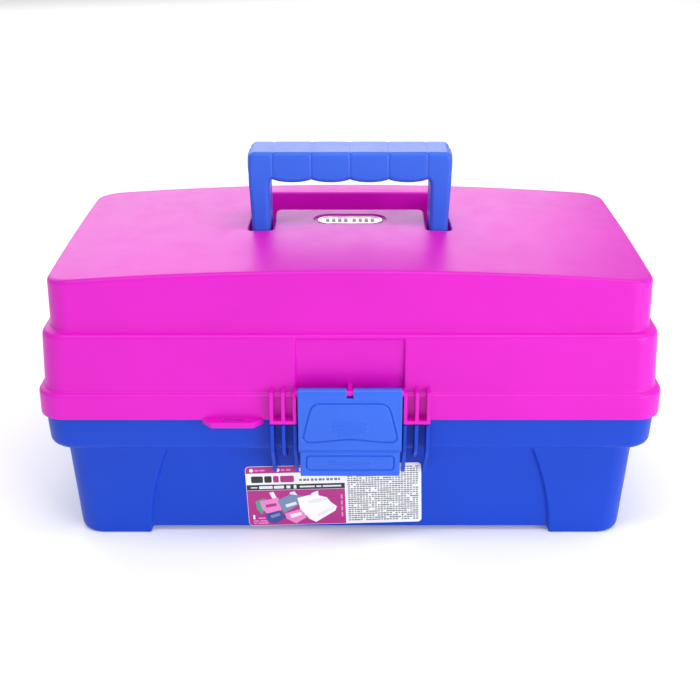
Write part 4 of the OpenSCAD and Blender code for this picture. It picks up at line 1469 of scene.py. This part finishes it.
@dataclass
class Label:
    """Paper label on the sunk front panel, with printed bands, simple pictures and rows of fine bars."""

    frame: Frame
    palette: Palette
    width: float = 104.0
    height: float = 42.0
    split: float = 58.6
    tilt: float = 1.8
    lean: float = 3.03

    def place(self) -> Matrix:
        """Where the label's own plane lies: u to the right, v up, w out of the face."""
        low, high = self.frame.box("label_sticker")
        middle = (low + high) / 2
        upright = Matrix.Rotation(math.radians(90 + self.lean), 4, "X")
        turn = upright @ Matrix.Rotation(math.radians(self.tilt), 4, "Z")
        out = turn.to_3x3() @ Vector((0, 0, -0.125))
        return Matrix.Translation(middle + out) @ turn

    def patch(self, skin: Skin, corners: Sequence[Corner], ink: str, level: int = 1, steps: int = 3) -> None:
        """Print one flat patch of ink.

        Args:
            skin: Skin that gets the patch.
            corners: Its outline in the label's plane.
            ink: Name of its ink.
            level: Order of printing, which lifts it a little.
            steps: Segments in its rounded corners.
        """
        skin.mark = list(self.palette.inks).index(ink)
        for ring in skin.tower(corners, [(0.2, 0.0), (0.26 + 0.02 * level, 0.0)], steps):
            skin.cap(ring, [], level_at(skin.points[ring[0]][2]))

    @staticmethod
    def pictures() -> list[tuple[int, str, list[Corner]]]:
        """Simple drawings of open boxes: order of printing, ink and outline of each patch."""
        shapes = (
            (1, "pale", ((-36.4, -2.7), (-34.1, -1.7), (-36.1, 3.2), (-38.7, 2.4))),
            (1, "pale", ((-25.1, -1.3), (-21.7, 0.0), (-23.6, 3.2), (-26.6, 2.0))),
            (1, "pale", ((-12.8, -1.3), (-9.2, -0.3), (-9.5, 3.1), (-13.6, 1.4))),
            (2, "green", ((-46.5, -9.0), (-43.8, -12.8), (-39.1, -2.8), (-42.4, -1.6), (-47.1, -3.6))),
            (3, "rose", ((-43.4, -8.9), (-40.3, -13.1), (-32.7, -11.8), (-30.6, -6.4), (-33.6, -1.1),
                         (-44.6, -3.4))),
            (4, "magenta", ((-41.0, -8.1), (-34.6, -6.9), (-34.9, -5.0), (-41.3, -6.0))),
            (4, "navy", ((-40.7, -17.8), (-36.1, -19.8), (-29.5, -15.5), (-32.7, -10.2), (-41.9, -12.6))),
            (5, "steel", ((-38.2, -15.8), (-32.6, -13.8), (-33.2, -12.1), (-38.9, -13.7))),
            (5, "steel", ((-32.4, -8.0), (-30.4, -12.4), (-24.3, -8.4), (-20.7, -5.4), (-16.1, -0.9),
                          (-25.9, 1.0), (-33.8, -2.9))),
            (6, "pale", ((-28.9, -8.3), (-22.4, -6.2), (-23.1, -4.3), (-29.5, -6.2))),
            (6, "rose", ((-29.1, -16.4), (-23.6, -19.9), (-17.3, -15.9), (-17.4, -11.7), (-20.2, -9.6),
                         (-30.0, -12.6))),
            (7, "pale", ((-26.2, -16.2), (-19.7, -13.8), (-20.4, -11.7), (-27.2, -13.5))),
            (7, "white", ((-20.6, -9.4), (-15.4, -16.8), (-11.5, -19.2), (0.3, -11.4), (1.4, -8.4),
                          (-1.9, -5.5), (-4.5, -1.7), (-12.6, 0.8), (-22.0, -1.7))),
            (8, "pale", ((-14.9, -6.0), (-4.7, -4.0), (-6.2, -1.9), (-16.3, -3.5))),
            (8, "pale", ((-9.7, -15.1), (-0.1, -9.8), (-0.8, -8.3), (-10.6, -13.5))),
        )
        return [(level, ink, [(u, v, 0.25) for u, v in outline]) for level, ink, outline in shapes]

    def sheet(self) -> bpy.types.Object:
        """The paper sheet itself."""
        half_u, half_v = self.width / 2, self.height / 2
        skin = Skin()
        thick = 0.25
        rings = skin.tower(box_corners(-half_u, -half_v, half_u, half_v, 2.5),
                           [(0.0, 0.0), (thick - 0.05, 0.0), (thick, -0.08)], 8)
        for ring, w in zip(rings, (0.0, thick)):
            skin.cap(ring, [], level_at(w))
        return skin.make("label_sheet", [self.palette.inks["sheet"]], place=self.place())

    def print(self) -> bpy.types.Object:
        """Bands, dots, bars and pictures in one layer of ink."""
        half_u, half_v = self.width / 2, self.height / 2
        left, split = 0.25 - half_u, self.split - half_u
        low, top = 0.25 - half_v, half_v - 0.25
        art = Skin()

        def bar(u: float, v: float, wide: float, tall: float, ink: str, level: int = 1,
                radius: float = 0.3, steps: int = 3) -> None:
            """Print a rectangle, placed by its lower left corner."""
            self.patch(art, box_corners(u, v, u + wide, v + tall, radius), ink, level, steps)

        self.patch(art, [(left, low, 2.2), (split, low, 0.1), (split, top - 16.6, 0.1),
                         (left, top - 16.6, 0.1)], "magenta", 0)
        self.patch(art, [(left, top - 4.6, 0.1), (split, top - 4.6, 0.1), (split, top, 0.1),
                         (left, top, 2.2)], "magenta", 0)
        self.patch(art, box_corners(left, top - 16.4, split, top - 12.6, 0.1), "black", 0)
        for k, u in enumerate((3.4, 19.0, 32.6, 46.2)):
            bar(left + u - 1.2, top - 3.7, 2.4, 2.4, "white", 1, 1.18, 8)
            for j, wide in enumerate((2.4, 3.0)):
                bar(left + u + 2.0 + 3.0 * j, top - 3.1, wide - 0.3 * (k % 2), 1.1, "rose")
        for u, wide, ink in ((3.0, 7.0, "black"), (10.8, 4.4, "black"), (16.0, 3.4, "magenta"),
                             (20.2, 8.2, "magenta")):
            bar(left + u, top - 11.2, wide, 4.6, ink, 0, min(0.9, wide / 2 - 0.2), 4)
        for k in range(11):
            bar(left + 31.5 + 2.3 * k, top - 10.6, (1.5, 1.9, 1.2, 1.7)[k % 4], 1.6, "grey", 0)
        for u, wide, tall in ((2.4, 4.0, 0.8), (7.4, 8.0, 2.0), (16.2, 6.0, 2.0), (23.6, 2.4, 2.0),
                              (28.0, 1.6, 2.6), (31.5, 9.0, 1.1), (41.4, 3.0, 1.1), (45.2, 11.0, 1.1)):
            bar(left + u, top - 14.5 - tall / 2, wide, tall, "pale")
        for level, ink, outline in self.pictures():
            self.patch(art, outline, ink, level)
        bar(left + 2.6, low + 4.4, 1.1, 3.2, "white")
        for u, v, wide in ((5.6, 4.6, 4.4), (2.6, 2.6, 3.4), (6.6, 2.6, 5.2), (2.6, 1.0, 2.0),
                           (5.2, 1.0, 6.4)):
            bar(left + u, low + v, wide, 1.0, "rose")
        for v in (5.0, 9.2, 13.4, 17.6):
            bar(split - 2.6, low + v, 1.0, 3.2, "rose")
        return art.make("label_print", list(self.palette.inks.values()), place=self.place())

    def fine_print(self, tree: Tree) -> bpy.types.Object:
        """Rows of fine bars on the sheet's right part.

        Args:
            tree: Tree that fills a block with rows of one bar.

        Returns:
            The bars.
        """
        ink = self.palette.inks["grey"]
        word = Skin()
        word.prism(2, 0.2, 0.29, box_corners(-0.86, -0.42, 0.86, 0.42, 0.2), 0.03, steps=1)
        words = word.make("label_fine_bars", [ink])
        tree.apply(words, {"Columns": 24, "Rows": 26, "Width": 40.4 * MM, "Height": 37.0 * MM,
                           "Material": ink})
        shift = Matrix.Translation(Vector((29.2, 0.0, 0.0)))
        words.data.transform(Matrix.Scale(MM, 4) @ self.place() @ shift @ Matrix.Scale(1 / MM, 4))
        return words

    def build(self, tree: Tree) -> None:
        """Build the sheet, its print and its fine bars."""
        attach(self.sheet(), "base", Slot.PAPER, "label_sticker")
        attach(self.print(), "base", Slot.PAPER)
        attach(self.fine_print(tree), "base", Slot.PAPER)


@dataclass
class Tray:
    """One open tray with its bins."""

    frame: Frame
    palette: Palette
    node: str
    rows: tuple[tuple[float, float, int], ...]
    wall: float = 1.6
    corner_r: float = 6.0

    def bins(self, x0: float, y0: float, x1: float, y1: float) -> list[list[Corner]]:
        """Outline of each bin, between the tray's inner walls."""
        outlines = []
        half = self.wall / 2
        for start, end, count in self.rows:
            low = y0 + start * (y1 - y0) + (half if start > 0 else 0)
            high = y0 + end * (y1 - y0) - (half if end < 1 else 0)
            for k in range(count):
                left = x0 + (x1 - x0) * k / count + (half if k else 0)
                right = x0 + (x1 - x0) * (k + 1) / count - (half if k < count - 1 else 0)
                radii = [self.corner_r - self.wall if edge else 2.0 for edge in (
                    k == 0 and start == 0, k == count - 1 and start == 0,
                    k == count - 1 and end == 1, k == 0 and end == 1)]
                outlines.append([(left, low, radii[0]), (right, low, radii[1]), (right, high, radii[2]),
                                 (left, high, radii[3])])
        return outlines

    def build(self) -> None:
        """Build the tray."""
        low, high = self.frame.box(self.node)
        skin = Skin()
        corners = box_corners(low.x, low.y, high.x, high.y, self.corner_r)
        base, rim = skin.tower(corners, [
            (low.z, -1.6), (low.z + 0.25, -0.8), (low.z + 0.8, -0.25), (low.z + 1.6, 0.0),
            (high.z - 0.4, 0.0), (high.z - 0.1, -0.12), (high.z, -0.4)], 8)
        skin.cap(base, [], level_at(low.z))
        floor = low.z + self.wall
        inner = (low.x + self.wall, low.y + self.wall, high.x - self.wall, high.y - self.wall)
        holes = []
        for outline in self.bins(*inner):
            mouth, bottom = skin.tower(outline, [
                (high.z, 0.3), (high.z - 0.1, 0.1), (high.z - 0.4, 0.0), (floor + 2.0, 0.0),
                (floor + 0.9, -0.3), (floor + 0.25, -0.9), (floor, -1.9)], 6)
            skin.cap(bottom, [], level_at(floor))
            holes.append(mouth)
        skin.cap(rim, holes, level_at(high.z))
        attach(skin.make(self.node + "_moulding", [self.palette.tray]), self.node, Slot.TRAY, self.node)


@dataclass
class Linkage:
    """Swing arms and lid links: flat bars with round eyes, and the steel pins that join them."""

    frame: Frame
    palette: Palette
    half_w: float = 4.5
    waist: float = 3.8
    pin: float = 2.06
    loose_pin: float = 3.1
    share: float = 0.47

    def bar(self, skin: Skin, low: float, high: float, start: Point2, end: Point2,
            eyes: Sequence[tuple[float, float]]) -> None:
        """Add one flat bar.

        Args:
            skin: Skin that gets the bar.
            low: Lower X.
            high: Higher X.
            start: Y and Z of its first pivot.
            end: Y and Z of its last pivot.
            eyes: Share along the bar and bore radius of each eye.
        """
        start_v, end_v = np.array(start), np.array(end)
        length = float(np.linalg.norm(end_v - start_v))
        along = (end_v - start_v) / length
        across = np.array((-along[1], along[0]))
        places = {share * length - self.half_w * math.cos(a) for share, _ in eyes
                  for a in np.linspace(0.12, math.pi - 0.12, 17)}
        upper = []
        for place in sorted(places):
            half = max(math.sqrt(max(0.0, self.half_w ** 2 - (place - share * length) ** 2))
                       for share, _ in eyes)
            if 0 < place < length:
                half = max(half, self.waist)
            upper.append((place, half))
        side = [start_v + along * p - across * h for p, h in upper]
        side += [start_v + along * p + across * h for p, h in reversed(upper)]
        corners = [(float(p[0]), float(p[1]), 0.03) for p in side]
        bores = [(*(start_v + along * share * length), bore) for share, bore in eyes]
        skin.prism(0, low, high, corners, 0.25, bores, steps=1)

    def build(self) -> None:
        """Build the arms and links and dress the pins."""
        f = self.frame
        run = np.array(f.pivot("tray_upper_pivot")) - np.array(f.pivot("rear_arms_swing"))
        for body, joint in (("rear_arms", "rear_arms_swing"), ("front_arms", "front_arms_swing")):
            start = f.pivot(joint)
            end = tuple(np.array(start) + run)
            skin = Skin()
            nodes = [body[:-1] + "_left", body[:-1] + "_right"]
            for node in nodes:
                low, high = f.box(node)
                self.bar(skin, low.x, high.x, start, end,
                         [(0, self.pin), (self.share, self.pin), (1, self.pin)])
            attach(skin.make(body + "_pair", [self.palette.lid]), body, Slot.LID, *nodes)
        start = f.pivot("lid_link_swing")
        low, high = f.box("tray_link_pins")
        end = ((low.y + high.y) / 2, (low.z + high.z) / 2)
        skin = Skin()
        nodes = ["lid_link_left", "lid_link_right"]
        for node in nodes:
            low, high = f.box(node)
            self.bar(skin, low.x, high.x, start, end, [(0, self.pin), (1, self.loose_pin)])
        attach(skin.make("lid_links_pair", [self.palette.lid]), "lid_links", Slot.LID, *nodes)
        for name, node in f.data["nodes"].items():
            if "pin" in name:
                node.data.materials.clear()
                node.data.materials.append(self.palette.metal)


@dataclass
class Studio:
    """Pale floor, soft lights and the camera."""

    span: float = 14.0
    focal: float = 62.3
    pitch: float = 66.17
    place: tuple[float, float, float] = (0.0, -0.7058, 0.3967)
    floor_glow: float = 0.12
    air_glow: float = 0.62

    def light(self, name: str, place: Sequence[float], target: Sequence[float], size: Point2,
              watts: float) -> None:
        """Add one soft rectangular light that faces a target.

        Args:
            name: Name of the light.
            place: Where it stands, in metres.
            target: Where it points.
            size: Its two sides, in metres.
            watts: Its power.
        """
        data = bpy.data.lights.new(name, "AREA")
        data.shape = "RECTANGLE"
        data.size, data.size_y = size
        data.energy = watts
        lamp = bpy.data.objects.new(name, data)
        lamp.location = place
        lamp.rotation_euler = (Vector(target) - Vector(place)).to_track_quat("-Z", "Y").to_euler()
        bpy.context.scene.collection.objects.link(lamp)

    def build(self) -> None:
        """Build the stage."""
        graph = Graph("pale_floor")
        tint = graph.blend(graph.noise(3.0), (0.95, 0.95, 0.95), (0.96, 0.96, 0.96))
        white = (1.0, 1.0, 1.0, 1.0)
        floor_finish = graph.surface({"Base Color": tint, "Roughness": 0.9, "Specular IOR Level": 0.1,
                                      "Emission Color": white, "Emission Strength": self.floor_glow})
        mesh = bpy.data.meshes.new("floor")
        half = self.span / 2
        square = [(-half, -half, 0), (half, -half, 0), (half, half, 0), (-half, half, 0)]
        mesh.from_pydata(square, [], [(0, 1, 2, 3)])
        mesh.materials.append(floor_finish)
        floor = bpy.data.objects.new("floor", mesh)
        bpy.context.scene.collection.objects.link(floor)

        world = bpy.data.worlds.new("studio_air")
        world.use_nodes = True
        world.node_tree.nodes["Background"].inputs["Color"].default_value = white
        world.node_tree.nodes["Background"].inputs["Strength"].default_value = self.air_glow
        bpy.context.scene.world = world
        self.light("overhead", (0.15, -0.4, 1.5), (0, 0, 0.1), (1.7, 0.3), 10.5)
        self.light("right_front", (1.25, -1.25, 0.42), (0.05, 0, 0.1), (1.0, 0.8), 16.0)
        self.light("rear_glow", (-0.5, 1.9, 0.95), (0, 0, 0.15), (2.4, 1.0), 17.0)

        lens = bpy.data.cameras.new("camera")
        lens.lens = self.focal
        lens.sensor_width = 36.0
        lens.clip_end = 50.0
        camera = bpy.data.objects.new("camera", lens)
        camera.location = self.place
        camera.rotation_euler = (math.radians(self.pitch), 0.0, 0.0)
        bpy.context.scene.collection.objects.link(camera)
        bpy.context.scene.camera = camera
        bpy.context.scene.view_settings.view_transform = "Standard"


def main() -> None:
    """Build the stage and every sub-assembly around the frame."""
    logging.basicConfig(level=logging.INFO, format="%(name)s: %(message)s")
    frame = Frame.load()
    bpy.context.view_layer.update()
    Studio().build()
    palette = Palette.build()
    row, words = row_tree(), words_tree()
    Tub(frame, palette).build(row)
    Lid(frame, palette).build(row)
    Handle(frame, palette).build()
    Latch(frame, palette).build()
    Badge(frame, palette).build(row)
    Label(frame, palette).build(words)
    Tray(frame, palette, "tray_lower", ((0.0, 0.514, 3), (0.514, 1.0, 4))).build()
    Tray(frame, palette, "tray_upper", ((0.0, 0.34, 1), (0.34, 0.67, 3), (0.67, 1.0, 4))).build()
    Linkage(frame, palette).build()


if __name__ == "__main__":
    main()
